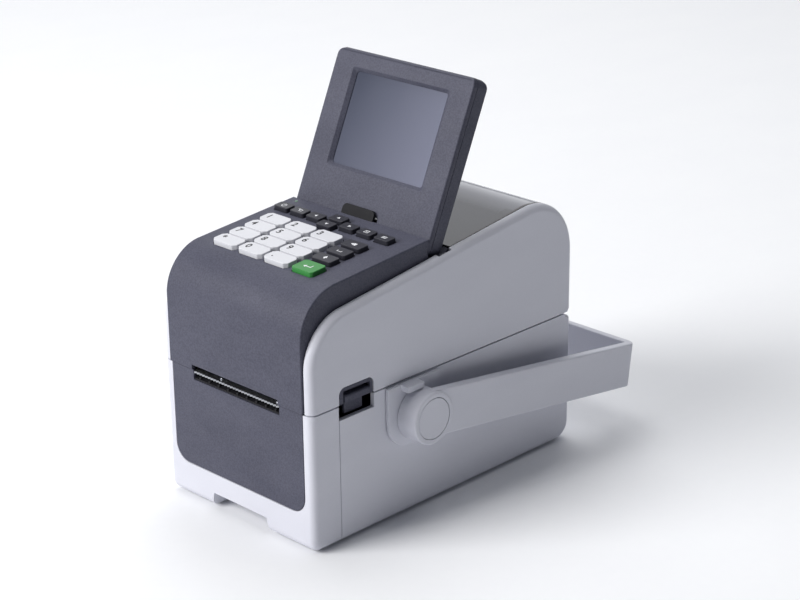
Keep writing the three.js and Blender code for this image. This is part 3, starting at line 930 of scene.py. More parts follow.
@dataclass(frozen=True)
class Board:
    """Circuit board: solder mask over copper tracks, with scattered pads."""

    name: str
    mask: Colour
    track: Colour
    pad: Colour

    def material(self) -> bpy.types.Material:
        """Builds the material.

        Returns:
            The material.
        """
        recipe = Recipe(self.name)
        bricks = recipe.node(
            "ShaderNodeTexBrick",
            Vector=recipe.spread((1.0, 1.0, 1.0)),
            Color1=self.mask,
            Color2=self.mask,
            Mortar=self.track,
            Scale=110.0,
            Mortar_Size=0.035,
        )
        pads = recipe.ramp(recipe.cells(3.2), (0.12, 0.16), (1.0, 0.0))
        colour = recipe.mix(pads, bricks.outputs["Color"], self.pad)
        gloss = recipe.ramp(recipe.noise(2.0, 3.0), (0.3, 0.7), (0.28, 0.45))
        return recipe.finish(Base_Color=colour, Roughness=gloss, Normal=recipe.relief(pads, 0.05, 0.4))


@dataclass(frozen=True)
class Lamp:
    """Moulded lens of an indicator lamp, brighter in the middle."""

    name: str
    face: Colour
    shade: Colour

    def material(self) -> bpy.types.Material:
        """Builds the material.

        Returns:
            The material.
        """
        recipe = Recipe(self.name)
        facets = recipe.cells(0.5)
        colour = recipe.mix(recipe.ramp(facets, (0.0, 0.6), (0.0, 1.0)), self.face, self.shade)
        normal = recipe.relief(facets, 0.04, 0.5)
        gloss = recipe.ramp(facets, (0, 0.6), (0.1, 0.2))
        return recipe.finish(Base_Color=colour, Roughness=gloss, Normal=normal)


class Paintbox:
    """Every finish of the printer, each made a material once."""

    FINISHES = {
        "light_shell": Moulded(
            "light_shell", tone(214, 215, 224), tone(204, 205, 215),
            (0.4, 0.52), 0.3, 0.012, 0.2,
        ),
        "dark_shell": Moulded(
            "dark_shell", tone(80, 81, 96), tone(62, 63, 78),
            (0.5, 0.62), 0.45, 0.05, 0.7,
        ),
        "black_trim": Moulded(
            "black_trim", tone(30, 30, 34), tone(22, 22, 26),
            (0.5, 0.62), 0.35, 0.02, 0.4, 0.2,
        ),
        "white_keys": Moulded(
            "white_keys", tone(214, 215, 220), tone(204, 205, 211),
            (0.38, 0.48), 0.25, 0.01, 0.2,
        ),
        "dark_keys": Moulded(
            "dark_keys", tone(50, 50, 58), tone(42, 42, 50),
            (0.35, 0.45), 0.25, 0.012, 0.4,
        ),
        "green_key": Moulded(
            "green_key", tone(58, 138, 66), tone(50, 124, 58),
            (0.35, 0.45), 0.25, 0.01, 0.3,
        ),
        "dark_ink": Moulded("dark_ink", tone(24, 24, 28), tone(34, 34, 38), (0.5, 0.6), 0.2, 0.005, 0.5),
        "light_ink": Moulded(
            "light_ink", tone(236, 237, 240), tone(214, 216, 222),
            (0.5, 0.6), 0.2, 0.005, 0.5,
        ),
        "nylon": Moulded("nylon", tone(222, 217, 202), tone(206, 200, 184), (0.4, 0.55), 0.5, 0.015, 0.4),
        "alloy": Metal("alloy", tone(206, 208, 212), tone(176, 178, 184), (0.22, 0.36), (0.04, 1.0, 1.0)),
        "steel": Metal("steel", tone(186, 188, 193), tone(150, 152, 158), (0.28, 0.45), (1.0, 0.06, 1.0)),
        "rubber": Rubber("rubber", tone(28, 28, 31), tone(70, 70, 74)),
        # smoked_window's first colour is a painted reflection: the near-white paleness towards the rear of
        # the pane
        "smoked_window": SmokedPane(
            "smoked_window", tone(196, 198, 208), tone(40, 41, 52), tone(30, 30, 36),
            52.6,
        ),
        # screen_glass's pale colour is a painted reflection across one corner of the glass
        "screen_glass": ScreenGlass(
            "screen_glass", tone(58, 63, 80), tone(116, 119, 138), tone(16, 16, 20),
            34.3,
        ),
        "circuit_board": Board("circuit_board", tone(24, 84, 54), tone(46, 122, 78), tone(196, 180, 120)),
        "green_lamp": Lamp("green_lamp", tone(150, 196, 160), tone(70, 110, 84)),
        "floor": Moulded("floor", tone(246, 247, 249), tone(243, 244, 247), (0.7, 0.8), 3.0, 0.01, 0.2),
    }

    def __init__(self) -> None:
        """Makes every material."""
        self.materials = {name: finish.material() for name, finish in self.FINISHES.items()}

    def __getitem__(self, name: str) -> bpy.types.Material:
        """Gives a material by the name of its finish."""
        return self.materials[name]


class Shop:
    """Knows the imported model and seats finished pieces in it."""

    SLOTS = {"green_lamp": "green_key"}

    def __init__(self, frame: dict, paints: Paintbox) -> None:
        """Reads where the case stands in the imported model.

        Args:
            frame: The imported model.
            paints: The finishes.
        """
        self.nodes = frame["nodes"]
        self.paints = paints
        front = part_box("front_panel")[0].y
        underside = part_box("lower_case")[0].z
        self.datum = Vector((0.0, front, underside))

    def install(self, work: Workpiece, body: str, finish: str, replaces: Sequence[str] = (),
                seat: Seat = Seat(), painted: bool = False) -> bpy.types.Object:
        """Seats a finished piece, dresses it and makes it ride on its body.

        Args:
            work: The piece, drawn in millimetres.
            body: The body that it moves with.
            finish: Its finish, which is also its material slot.
            replaces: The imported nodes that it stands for.
            seat: Where it goes, if it was drawn flat.
            painted: True if it already carries its materials.

        Returns:
            The object.
        """
        work.activate()
        piece = work.body
        piece.rotation_euler = (math.radians(seat.turn), 0.0, 0.0)
        piece.scale = (MM, MM, MM)
        piece.location = self.datum + MM * Vector((seat.x, seat.y, seat.z))
        bpy.ops.object.transform_apply(location=True, rotation=True, scale=True)
        if not painted:
            work.paint(self.paints[finish])
        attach(piece, body)
        if replaces:
            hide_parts(*replaces)
        log.info("%s on %s: %d faces", piece.name, body, len(piece.data.polygons))
        return piece

    def dress(self, finish: str, names: Iterable[str]) -> None:
        """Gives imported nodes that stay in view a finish.

        Args:
            finish: The name of the finish.
            names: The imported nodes.
        """
        for name in names:
            slots = self.nodes[name].material_slots
            if not slots:
                self.nodes[name].data.materials.append(self.paints[finish])
            for slot in slots:
                slot.material = self.paints[finish]
            log.info("%s keeps its shape, in %s", name, finish)


# ---- sub-assemblies ----


@dataclass
class Case:
    """The light shells: front frame, base shell and cover, all cut from one rounded solid."""

    half_width: float = 58.0
    depth: float = 202.0
    parting: float = 77.5
    gap: float = 0.3
    edge: float = 4.0
    wall: float = 3.0
    seam: float = 19.45
    shoulder: float = 101.0
    front_radius: float = 28.0
    rear_radius: float = 33.0
    slope: float = 7.6
    toe: float = 5.0
    heel: float = 10.0
    deck_half: float = 52.9
    deck_end: float = 107.1
    pane_half: float = 52.6
    pane_front: float = 107.4
    pane_foot: float = 132.1
    pane_gap: float = 0.3
    barrel: float = 3.2
    barrel_gap: float = 0.6
    barrel_neck: float = 10.0
    bore: float = 1.6
    hinge: tuple[float, float] = (200.0, 77.5)
    base_knuckles: tuple[Span, ...] = ((22.0, 27.0), (41.0, 46.0))
    cover_knuckles: tuple[Span, ...] = ((27.5, 40.5),)
    ports: tuple[tuple[float, float, float, float], ...] = (
        (-37.0, -29.0, 8.2, 16.0),
        (-16.6, -6.4, 8.2, 16.0),
        (7.4, 20.6, 8.2, 17.6),
    )

    def top(self, y: float, inset: float) -> float:
        """Gives the height of the sloping top at a depth, a given distance inside its face.

        Args:
            y: The depth.
            inset: How far inside the outer face.

        Returns:
            The height.
        """
        lean = math.radians(self.slope)
        rise = (self.front_radius - inset) / math.cos(lean)
        return self.shoulder + rise + (y - self.front_radius) * math.tan(lean)

    def blank(self, name: str, inset: float, half: float, rounded: bool = False) -> Workpiece:
        """Makes the whole case as one solid.

        Args:
            name: The workpiece's name.
            inset: How far inside the outer face it is drawn.
            half: Half its width.
            rounded: True if the edges along its two sides are rounded.

        Returns:
            The solid.
        """
        front, rear = inset, self.depth - inset
        low, high = self.top(front, inset), self.top(rear, inset)
        work = Workpiece.block(name, (-half, half), (front, rear), (inset, low))
        work.slide(Where(y=rear, z=low), (0, 0, high - low))
        lean = math.radians(self.slope)
        front_reach = (self.front_radius - inset) / math.tan((math.pi / 2 + lean) / 2)
        rear_reach = (self.rear_radius - inset) / math.tan((math.pi / 2 - lean) / 2)
        work.round(Where(y=front, z=low, along=Axis.X), front_reach, 24)
        work.round(Where(y=rear, z=high, along=Axis.X), rear_reach, 24)
        work.round(Where(y=front, z=inset, along=Axis.X), max(self.toe - inset, 1.0), 8)
        work.round(Where(y=rear, z=inset, along=Axis.X), self.heel - inset, 10)
        if rounded:
            for _, side in SIDES:
                work.round(Where(x=side * half), self.edge, 6)
        return work

    def barrels(self, spans: Sequence[Span], radius: float) -> Workpiece:
        """Makes the hinge barrels of both sides, as one tool.

        Args:
            spans: Where they stand along X on the right side.
            radius: Their radius.

        Returns:
            The barrels.
        """
        y, z = self.hinge
        rods = [
            Workpiece.rod("barrel", radius, mirrored(side, *span), y, z, 32)
            for span in spans
            for _, side in SIDES
        ]
        return Workpiece.gather("barrels", rods)

    def front_frame(self) -> Workpiece:
        """Makes the light frame round the front panel.

        Returns:
            The frame.
        """
        work = self.blank("front_frame_moulding", 0, self.half_width, True)
        work.split((0, 0, self.parting - self.gap), (0, 0, 1))
        work.split((0, self.seam - self.gap / 2, 0), (0, 1, 0))
        inner = self.half_width - self.wall
        hollow = Workpiece.block("hollow", (-inner, inner), (3, 40), (3, 100))
        hollow.cut_block((-24.5, 23.5), (2, 41), (-1, 11.3))
        work.cut(hollow)
        window = Workpiece.block("window", (-51.5, 51.5), (-5, 6), (20, 100))
        work.cut(window.round(Where(z=20, along=Axis.Y), 10, 12))
        notch = Workpiece.block("notch", (-21.5, 20.5), (-5, 40), (-1, 8.3))
        notch.slide(Where(x=-21.5, z=-1), (-2, 0, 0)).slide(Where(x=20.5, z=-1), (2, 0, 0))
        work.cut(notch)
        return work.soften(0.35).smooth()

    def base_shell(self) -> Workpiece:
        """Makes the light shell of the lower half, open at the top and hatched underneath.

        Returns:
            The shell.
        """
        work = self.blank("base_shell", 0, self.half_width, True)
        work.split((0, 0, self.parting - self.gap), (0, 0, 1))
        work.split((0, self.seam + self.gap / 2, 0), (0, -1, 0))
        inner = self.half_width - self.wall
        hollow = self.blank("hollow", self.wall, inner)
        hollow.cut_block((-56, 56), (-1, 22.15), (2, 38))
        work.cut(hollow)
        work.cut_block((-46, 46), (31, 178), (-1, 4))
        for y in (26, 183.5):
            work.cut_block((-38.3, 38.3), (y - 3.3, y + 3.3), (-1, 1.1))
        for left, right, low, high in self.ports:
            work.cut_block((left, right), (self.depth - 6, self.depth + 1), (low, high))
        for _, side in SIDES:
            work.cut_block(mirrored(side, inner - 2, 60), (0, 44.5), (69.5, 90))
        y, z = self.hinge
        work.cut(Workpiece.rod("groove", self.barrel + self.barrel_gap, (-59, 59), y, z, 40))
        for _, side in SIDES:
            for span in self.base_knuckles:
                work.add_block(mirrored(side, *span), (y - self.barrel, y + 1), (z - self.barrel_neck, z))
        work.add(self.barrels(self.base_knuckles, self.barrel))
        work.cut(Workpiece.rod("bore", self.bore, (-58, 58), y, z, 24))
        return work.soften(0.3).smooth()

    def cover_shell(self, recess: Workpiece) -> Workpiece:
        """Makes the light shell of the upper half, open for the deck and the window.

        Args:
            recess: The solid that cuts the lever recesses.

        Returns:
            The shell.
        """
        bottom = self.parting + self.gap
        work = self.blank("cover_moulding", 0, self.half_width, True)
        work.split((0, 0, bottom), (0, 0, -1))
        work.cut(self.blank("hollow", self.wall, self.half_width - self.wall))
        opening = (-self.deck_half, self.deck_half)
        work.cut_block(opening, (-10, self.deck_end), (70, 200))
        work.cut_block(opening, (100, 300), (self.pane_foot - self.pane_gap, 200))
        for _, side in SIDES:
            work.cut_block(mirrored(side, 51.9, 55.4), (96, 106), (130, 200))
        work.cut(recess)
        y, z = self.hinge
        work.cut(self.barrels(self.base_knuckles, self.barrel + 0.4))
        for _, side in SIDES:
            for span in self.cover_knuckles:
                work.add_block(mirrored(side, *span), (y - self.barrel, y + 1), (z, z + self.barrel_neck))
        work.add(self.barrels(self.cover_knuckles, self.barrel))
        work.cut(Workpiece.rod("bore", self.bore, (-58, 58), y, z, 24))
        return work.soften(0.35).smooth()

    def parting_lip(self) -> Workpiece:
        """Makes the black tongue that stands in the parting line between the shells: a dark strip put behind
        the gap as painted shadow, so that the line reads dark.

        Returns:
            The tongue.
        """
        work = self.blank("parting_lip", 1.1, self.half_width - 1.1, True)
        work.cut(self.blank("hollow", 2.2, self.half_width - 2.2))
        work.cut_block(ACROSS, (-10, 44.6), (40, 300))
        work.cut_block(ACROSS, (194, 210), (40, 300))
        work.split((0, 0, self.parting + 0.12), (0, 0, 1)).split((0, 0, self.parting - 0.9), (0, 0, -1))
        return work.soften(0.08).smooth()

    def window_pane(self) -> Workpiece:
        """Makes the smoked window over the label roll.

        Returns:
            The window.
        """
        work = self.blank("roll_window", 0, self.pane_half)
        work.cut(self.blank("hollow", 2.5, 60.0))
        work.split((0, self.pane_front, 0), (0, -1, 0)).split((0, 0, self.pane_foot), (0, 0, -1))
        return work.soften(0.3).smooth()

    def build(self, shop: Shop, recess: Workpiece) -> None:
        """Builds and installs the shells.

        Args:
            shop: The shop that seats and dresses it.
            recess: The solid that cuts the lever recesses.
        """
        shop.install(self.front_frame(), "base", "light_shell", ["front_frame"])
        shop.install(self.base_shell(), "base", "light_shell", ["lower_case"])
        shop.install(self.cover_shell(recess), "cover", "light_shell", ["cover_shell"])
        # the black tongue is painted shadow, standing for the shade inside the parting gap
        shop.install(self.parting_lip(), "base", "black_trim")
        shop.install(self.window_pane(), "cover", "smoked_window", ["media_window"])


@dataclass
class FrontFace:
    """The dark front panel with the exit slot, its lip and its tear bar."""

    half_width: float = 51.2
    bottom: float = 20.3
    top: float = 77.2
    corner: float = 9.7
    thick: float = 2.6
    slot: Span = (-34.0, 33.7)
    slot_bottom: float = 71.5

    def panel(self) -> Workpiece:
        """Makes the front panel.

        Returns:
            The panel.
        """
        half = self.half_width
        work = Workpiece.block("front_plate", (-half, half), (0, self.thick), (self.bottom, self.top))
        work.round(Where(z=self.bottom, along=Axis.Y), self.corner, 12)
        work.cut_block(self.slot, (-5, 10), (self.slot_bottom, 100))
        return work.soften(0.4, 3).smooth()

    def screws(self) -> Workpiece:
        """Makes the two small screws that hold the tear bar.

        Returns:
            Both screws, as one piece.
        """
        heads = []
        for x in (-14.0, 30.0):
            head = Workpiece.disc("screw", 1.3, (x, 3.2, 76.85), 0.8, 32)
            head.round(Where(z=77.65), 0.25, 3)
            head.cut_block((x - 1.0, x + 1.0), (3.05, 3.35), (77.4, 78))
            head.cut_block((x - 0.15, x + 0.15), (2.2, 4.2), (77.4, 78))
            heads.append(head)
        return Workpiece.gather("bar_screws", heads).smooth()

    def build(self, shop: Shop) -> None:
        """Builds and installs the front face."""
        shop.install(self.panel(), "base", "dark_shell", ["front_panel"])
        shop.install(self.screws(), "base", "steel")


class KeyKind(Enum):
    """The four sizes of key: finish, width, depth and corner."""

    NUMBER = ("white_keys", 18.4, 10.1, 2.1)
    SIDE = ("dark_keys", 14.4, 7.8, 0.9)
    ENTER = ("green_key", 15.6, 11.4, 1.3)
    TOP = ("dark_keys", 10.8, 6.8, 0.8)


@dataclass(frozen=True)
class Key:
    """One key: its node's name, its size, its place on the deck and its legend."""

    name: str
    kind: KeyKind
    x: float
    y: float
    legend: str


def key_layout() -> list[Key]:
    """Gives every key of the keypad, as it stands on the deck.

    Returns:
        One entry for each key, number keys first.
    """
    rows = (
        (60.4, ("1", "2", "3")),
        (49.2, ("4", "5", "6")),
        (38.0, ("7", "8", "9")),
        (26.8, ("*", "0", ".")),
    )
    names = {"*": "key_mark", ".": "key_point"}
    keys = [
        Key(names.get(sign, f"key_{sign}"), KeyKind.NUMBER, x + 0.3 * index, y, sign)
        for index, (y, signs) in enumerate(rows)
        for x, sign in zip((-32.0, -12.0, 8.0), signs)
    ]
    keys += [
        Key("key_backspace", KeyKind.SIDE, 28.4, 60.9, "erase"),
        Key("key_space", KeyKind.SIDE, 28.4, 50.6, "space"),
        Key("key_case", KeyKind.SIDE, 28.4, 40.3, "shift"),
        Key("key_enter", KeyKind.ENTER, 29.4, 27.6, "enter"),
        Key("key_power", KeyKind.TOP, -42.4, 76.4, "power"),
        Key("key_return", KeyKind.TOP, -29.6, 76.4, "back"),
        Key("key_left", KeyKind.TOP, -16.8, 76.4, "left"),
        Key("key_up", KeyKind.TOP, -4.0, 81.0, "up"),
        Key("key_down", KeyKind.TOP, -4.0, 71.8, "down"),
        Key("key_right", KeyKind.TOP, 8.8, 76.4, "right"),
        Key("key_file", KeyKind.TOP, 22.0, 76.4, "file"),
        Key("key_menu", KeyKind.TOP, 35.2, 76.4, "menu"),
    ]
    return keys


@dataclass
class KeyLegends:
    """Draws what is printed on the keys, as thin plates on their tops."""

    face: float = 2.4
    thick: float = 0.07

    def bar(self, x: Span, y: Span) -> Workpiece:
        """Makes a rectangle of ink."""
        return Workpiece.block("ink", x, y, (self.face - 0.02, self.face + self.thick - 0.02))

    def arrow(self, x: float, y: float, radius: float, degrees: float) -> Workpiece:
        """Makes a triangle of ink that points the way given."""
        turn = math.radians(degrees - 90)
        return Workpiece.disc("ink", radius, (x, y, self.face - 0.02), self.thick, 3, turn)

    def ring(self, x: float, y: float, outer: float, inner: float) -> Workpiece:
        """Makes a ring of ink."""
        ring = Workpiece.disc("ink", outer, (x, y, self.face - 0.02), self.thick, 32)
        return ring.cut(Workpiece.disc("tool", inner, (x, y, self.face - 1), 2, 32))

    def marks(self, sign: str) -> list[Workpiece]:
        """Draws one icon.

        Args:
            sign: The icon's name.

        Returns:
            The plates it is made of.
        """
        turns = {"right": 0.0, "up": 90.0, "left": 180.0, "down": 270.0}
        if sign in turns:
            return [self.arrow(0, 0, 1.25, turns[sign])]
        if sign == "power":
            ring = self.ring(0, 0, 1.6, 1.25).cut_block((-0.5, 0.5), (0.6, 2), (1, 4))
            return [ring, self.bar((-0.18, 0.18), (0.2, 1.8))]
        if sign == "back":
            stem = [self.bar((-0.9, 1.6), (0.7, 1.05)), self.bar((1.25, 1.6), (-0.95, 0.7))]
            return [*stem, self.bar((-0.6, 1.25), (-0.95, -0.6)), self.arrow(-1.2, 0.88, 0.85, 180)]
        if sign == "file":
            sheet = self.bar((-1.5, 1.5), (-1.3, 1.3)).cut_block((-1.15, 1.15), (-0.95, 0.95), (1, 4))
            return [sheet, self.bar((-0.7, 0.7), (-0.2, 0.15))]
        if sign == "menu":
            return [self.bar((-1.7, 1.7), (y - 0.17, y + 0.17)) for y in (-0.8, 0.0, 0.8)]
        if sign == "erase":
            return [self.arrow(-0.9, 0, 1.35, 180), self.bar((-0.5, 1.7), (-1.15, 1.15))]
        if sign == "space":
            feet = [self.bar((x - 0.18, x + 0.18), (-0.6, 0.5)) for x in (-1.5, 1.5)]
            return [*feet, self.bar((-1.68, 1.68), (-0.9, -0.55))]
        if sign == "shift":
            return [self.arrow(0, 0.35, 1.5, 90), self.bar((-0.5, 0.5), (-1.4, 0.0))]
        stem = [self.bar((-1.6, 2.3), (-0.9, -0.4)), self.bar((1.8, 2.3), (-0.4, 1.5))]
        return [*stem, self.arrow(-1.9, -0.65, 1.3, 180)]


@dataclass
class KeypadDeck:
    """The dark deck with its keys, its indicator lamp and the display's hinge block."""

    half_width: float = 52.4
    front: float = -1.0
    wall: float = 2.5
    arc_y: float = 25.0
    arc_z: float = 116.0
    radius: float = 26.0
    slope: float = 4.86
    rear: float = 91.7
    floor: float = 106.7
    bottom: float = 77.8
    axis: tuple[float, float] = (97.0, 141.0)
    cradle: float = 6.3
    key_gap: float = 0.3
    key_below: float = 3.6
    key_proud: float = 2.5
    key_dish: float = 0.1
    web_edge: float = 0.18
    digit: float = 6.0
    digit_place: tuple[float, float] = (-5.2, 0.4)
    slot: Span = (-34.0, 33.7)
    tab: Span = (-13.4, 10.8)
    tab_top: float = 9.6
    lamp_place: tuple[float, float] = (-45.5, 88.0)

    def top(self, y: float, inset: float = 0.0) -> float:
        """Gives the height of the sloping top at a depth."""
        lean = math.radians(self.slope)
        return self.arc_z + (self.radius - inset) / math.cos(lean) + (y - self.arc_y) * math.tan(lean)

    def on_deck(self, x: float, y: float) -> Seat:
        """Gives the seat of a piece drawn flat with z = 0 at the deck's surface."""
        return Seat(x, y, self.top(y), self.slope)

    def blank(self, name: str, inset: float, bottom: float, ledge: float) -> Workpiece:
        """Makes the deck as a solid, a given distance inside its outer face.

        Args:
            name: The workpiece's name.
            inset: How far inside the outer face it is drawn.
            bottom: The height of its underside.
            ledge: The height behind the display's cradle.

        Returns:
            The solid.
        """
        half = self.half_width - inset
        front, rear = self.front + inset, self.floor - inset
        low, high = self.top(front, inset), self.top(rear, inset)
        work = Workpiece.block(name, (-half, half), (front, rear), (bottom, low))
        work.slide(Where(y=rear, z=low), (0, 0, high - low))
        lean = math.radians(self.slope)
        reach = (self.radius - inset) / math.tan((math.pi / 2 + lean) / 2)
        work.round(Where(y=front, z=low, along=Axis.X), reach, 24)
        if inset == 0:
            for _, side in SIDES:
                work.round(Where(x=side * half), 0.9, 3)
        work.cut_block(ACROSS, (self.rear - inset, 200), (ledge, 200))
        y, z = self.axis
        return work.cut(Workpiece.rod("cradle", self.cradle + inset, ACROSS, y, z, 72))

    def key_blank(self, kind: KeyKind, name: str, grow: float = 0.0) -> Workpiece:
        """Makes a key's eight-sided block, or the hole it goes through if it is grown.

        Args:
            kind: The size of key.
            name: The workpiece's name.
            grow: How much larger it is on each side, if it is a hole.

        Returns:
            The block.
        """
        _, wide, deep, corner = kind.value
        a, b = wide / 2 + grow, deep / 2 + grow
        reach = 8.0 if grow else 0.0
        work = Workpiece.block(name, (-a, a), (-b, b), (-self.key_below - reach, self.key_proud + reach))
        return work.round(Where(along=Axis.Z), corner, 1)

    def cap(self, kind: KeyKind, name: str) -> Workpiece:
        """Makes a key with rounded edges and a slightly dished top.

        Args:
            kind: The size of key.
            name: The workpiece's name.

        Returns:
            The key.
        """
        work = self.key_blank(kind, name)
        work.soften(0.45, 3)
        return work.inset(Where(z=self.key_proud), 0.9, -self.key_dish).smooth(40)

    def deck(self) -> Workpiece:
        """Makes the deck with its key holes and its cradle.

        Returns:
            The deck.
        """
        work = self.blank("deck_moulding", 0.0, self.bottom, 139.0)
        ramp = Workpiece.block("ramp", ACROSS, (100.15, 107.5), (135.4, 200))
        work.cut(ramp.slide(Where(y=107.5, z=135.4), (0, 0, 4.05)))
        work.cut(self.blank("hollow", self.wall, 60.0, 133.6))
        work.cut_block(ACROSS, (8, 200), (0, 104))
        inner = self.half_width - self.wall
        work.cut_block((-inner, inner), (95, 200), (0, 131))
        work.cut_block(self.slot, (-5, 6), (70, 80.5))
        holes = []
        for key in key_layout():
            hole = self.key_blank(key.kind, "hole", self.key_gap)
            holes.append(lay(hole, self.on_deck(key.x, key.y)))
        work.cut(Workpiece.gather("holes", holes))
        for _, side in SIDES:
            work.add_block(mirrored(side, self.half_width - 0.2, 55.1), (96.3, 105.7), (132.5, 137.4))
        return work.soften(self.web_edge, 2, 60).triangulate().smooth()

    def hinge_block(self) -> Workpiece:
        """Makes the black block and tab that carry the display.

        Returns:
            The block with its tab.
        """
        y, z = self.axis
        tab = Workpiece.block("display_tab", self.tab, (-8.2, -6.4), (-6, self.tab_top))
        lay(tab.round(Where(z=self.tab_top, along=Axis.Y), 3, 8), Seat(0, y, z, -24))
        tab.add(Workpiece.rod("barrel", 5.4, self.tab, y, z, 48))
        tab.add_block((self.tab[0] + 0.02, self.tab[1] - 0.02), (y - 3, y + 3), (133, z))
        return tab.soften(0.35).smooth()

    def lamp(self) -> Workpiece:
        """Makes the indicator lamp's lens."""
        lens = Workpiece.disc("deck_lamp", 0.9, (0, 0, -0.6), 0.85, 32)
        return lens.round(Where(z=0.25), 0.3, 4).smooth(50)

    def build_keys(self, shop: Shop) -> None:
        """Builds and installs every key with its legend.

        Args:
            shop: The shop that seats and dresses it.
        """
        legends = KeyLegends(self.key_proud - self.key_dish)
        patterns = {kind: self.cap(kind, f"pattern_{kind.name.lower()}") for kind in KeyKind}
        for key in key_layout():
            finish = key.kind.value[0]
            cap = patterns[key.kind].copy(key.name.replace("key_", "cap_")).paint(shop.paints[finish])
            ink = shop.paints["dark_ink" if key.kind is KeyKind.NUMBER else "light_ink"]
            if key.kind is KeyKind.NUMBER:
                place = (*self.digit_place, legends.face + 0.03)
                prints = [Workpiece.lettering("ink", key.legend, self.digit, place)]
            else:
                prints = legends.marks(key.legend)
            name = cap.body.name
            whole = Workpiece.gather(name, [cap, *(ink_piece.paint(ink) for ink_piece in prints)])
            seat = self.on_deck(key.x, key.y)
            shop.install(whole, f"body_{key.name}", finish, [key.name], seat, painted=True)
        for pattern in patterns.values():
            bpy.data.objects.remove(pattern.body)

    def build(self, shop: Shop) -> None:
        """Builds and installs the deck.

        Args:
            shop: The shop that seats and dresses it.
        """
        shop.install(self.deck(), "cover", "dark_shell", ["keypad_deck"])
        shop.install(self.hinge_block(), "cover", "black_trim")
        shop.install(self.lamp(), "cover", "green_lamp", seat=self.on_deck(*self.lamp_place))
        self.build_keys(shop)


@dataclass
class Display:
    """The tilting display, drawn upright with its hinge axis along X through the origin."""

    half_width: float = 51.5
    height: float = 91.7
    half_thick: float = 5.75
    seam: float = -2.45
    corner: float = 5.0
    knuckle: Span = (-14.0, 11.4)
    screen_half: float = 34.1
    screen: Span = (28.2, 79.8)
    frame_half: float = 36.5
    frame: Span = (26.7, 82.2)
    seat: Seat = Seat(0.0, 97.0, 141.0, -24.0)

    def blank(self, name: str) -> Workpiece:
        """Makes the whole housing as one rounded slab.

        Args:
            name: The workpiece's name.

        Returns:
            The slab.
        """
        thick, half, low, high = self.half_thick, self.half_width, -self.half_thick, self.height
        work = Workpiece.block(name, (-half, half), (-thick, thick), (low, high))
        work.round(Where(z=low, along=Axis.X), thick - 0.05, 10)
        work.round(Where(z=high, along=Axis.X), 3, 6)
        face = Workpiece.block("face", (-half, half), (-20, 20), (low, high))
        work.combine(Joining.KEEP, face.round(Where(along=Axis.Y), self.corner, 8))
        work.cut_block(self.knuckle, (-20, 20), (-20, 6.4))
        return work.soften(0.9, 3)

    def bezel(self) -> Workpiece:
        """Makes the front half with its bevelled frame round the screen.

        Returns:
            The front half.
        """
        work = self.blank("display_front")
        work.split((0, self.seam - 0.15, 0), (0, 1, 0))
        front, back = -self.half_thick, 2 - self.half_thick
        low, high = self.frame
        tool = Workpiece.block("tool", (-self.frame_half, self.frame_half), (front, back), (low, high))
        tool.round(Where(along=Axis.Y), 1.6, 4)
        tool.extrude(Where(y=front), (0, -2, 0))
        tool.pick(Part.FACE, Where(y=back))
        middle = (low + high) / 2
        narrow = (self.screen_half / self.frame_half, 1, (self.screen[1] - self.screen[0]) / (high - low))
        bpy.ops.transform.resize(value=narrow, center_override=(0, back, middle))
        bpy.ops.object.mode_set(mode="OBJECT")
        work.cut(tool)
        pocket = (self.screen[0] - 4, self.screen[1] + 4)
        work.cut_block((-39, 39), (back - 0.02, 0), pocket).weld()
        rim = Where(x=(-37, 37), y=(front - 0.1, back + 0.1), z=(low - 0.5, high + 0.5))
        return work.round(rim, 0.15, 2).smooth()

    def back(self) -> Workpiece:
        """Makes the back half with a sunk panel and four screw wells.

        Returns:
            The back half.
        """
        work = self.blank("display_rear")
        work.split((0, self.seam + 0.15, 0), (0, -1, 0))
        work.cut_block((-47, 47), (-5, 3.5), (8, 88))
        rear = self.half_thick
        sunk = Workpiece.block("sunk", (-40, 40), (rear - 0.5, rear + 2), (16, 80))
        work.cut(sunk.round(Where(along=Axis.Y), 3, 6))
        for x in (-43.5, 43.5):
            for z in (14.0, 82.0):
                well = Workpiece.disc("well", 2.6, (x, -z, rear - 1.2), 4, 32)
                work.cut(lay(well, Seat(turn=-90)))
        rims = Where(x=(-47, 47), y=(rear - 0.1, rear + 0.1), z=(10, 86))
        return work.weld().round(rims, 0.25, 2).smooth()

    def glass(self) -> Workpiece:
        """Makes the display glass with its polished edge.

        Returns:
            The glass.
        """
        face = 2.3 - self.half_thick
        half, low, high = 38.6, self.screen[0] - 3.6, self.screen[1] + 3.6
        work = Workpiece.block("display_glass", (-half, half), (face, face + 2.6), (low, high))
        work.round(Where(along=Axis.Y), 1.0, 4)
        return work.inset(Where(y=face), 1.2, 0.0).soften(0.2).smooth()

    def build(self, shop: Shop) -> None:
        """Builds and installs the display.

        Args:
            shop: The shop that seats and dresses it.
        """
        shop.install(self.bezel(), "display", "dark_shell", ["display_bezel"], self.seat)
        shop.install(self.back(), "display", "dark_shell", ["display_back"], self.seat)
        shop.install(self.glass(), "display", "screen_glass", ["lcd_panel"], self.seat)


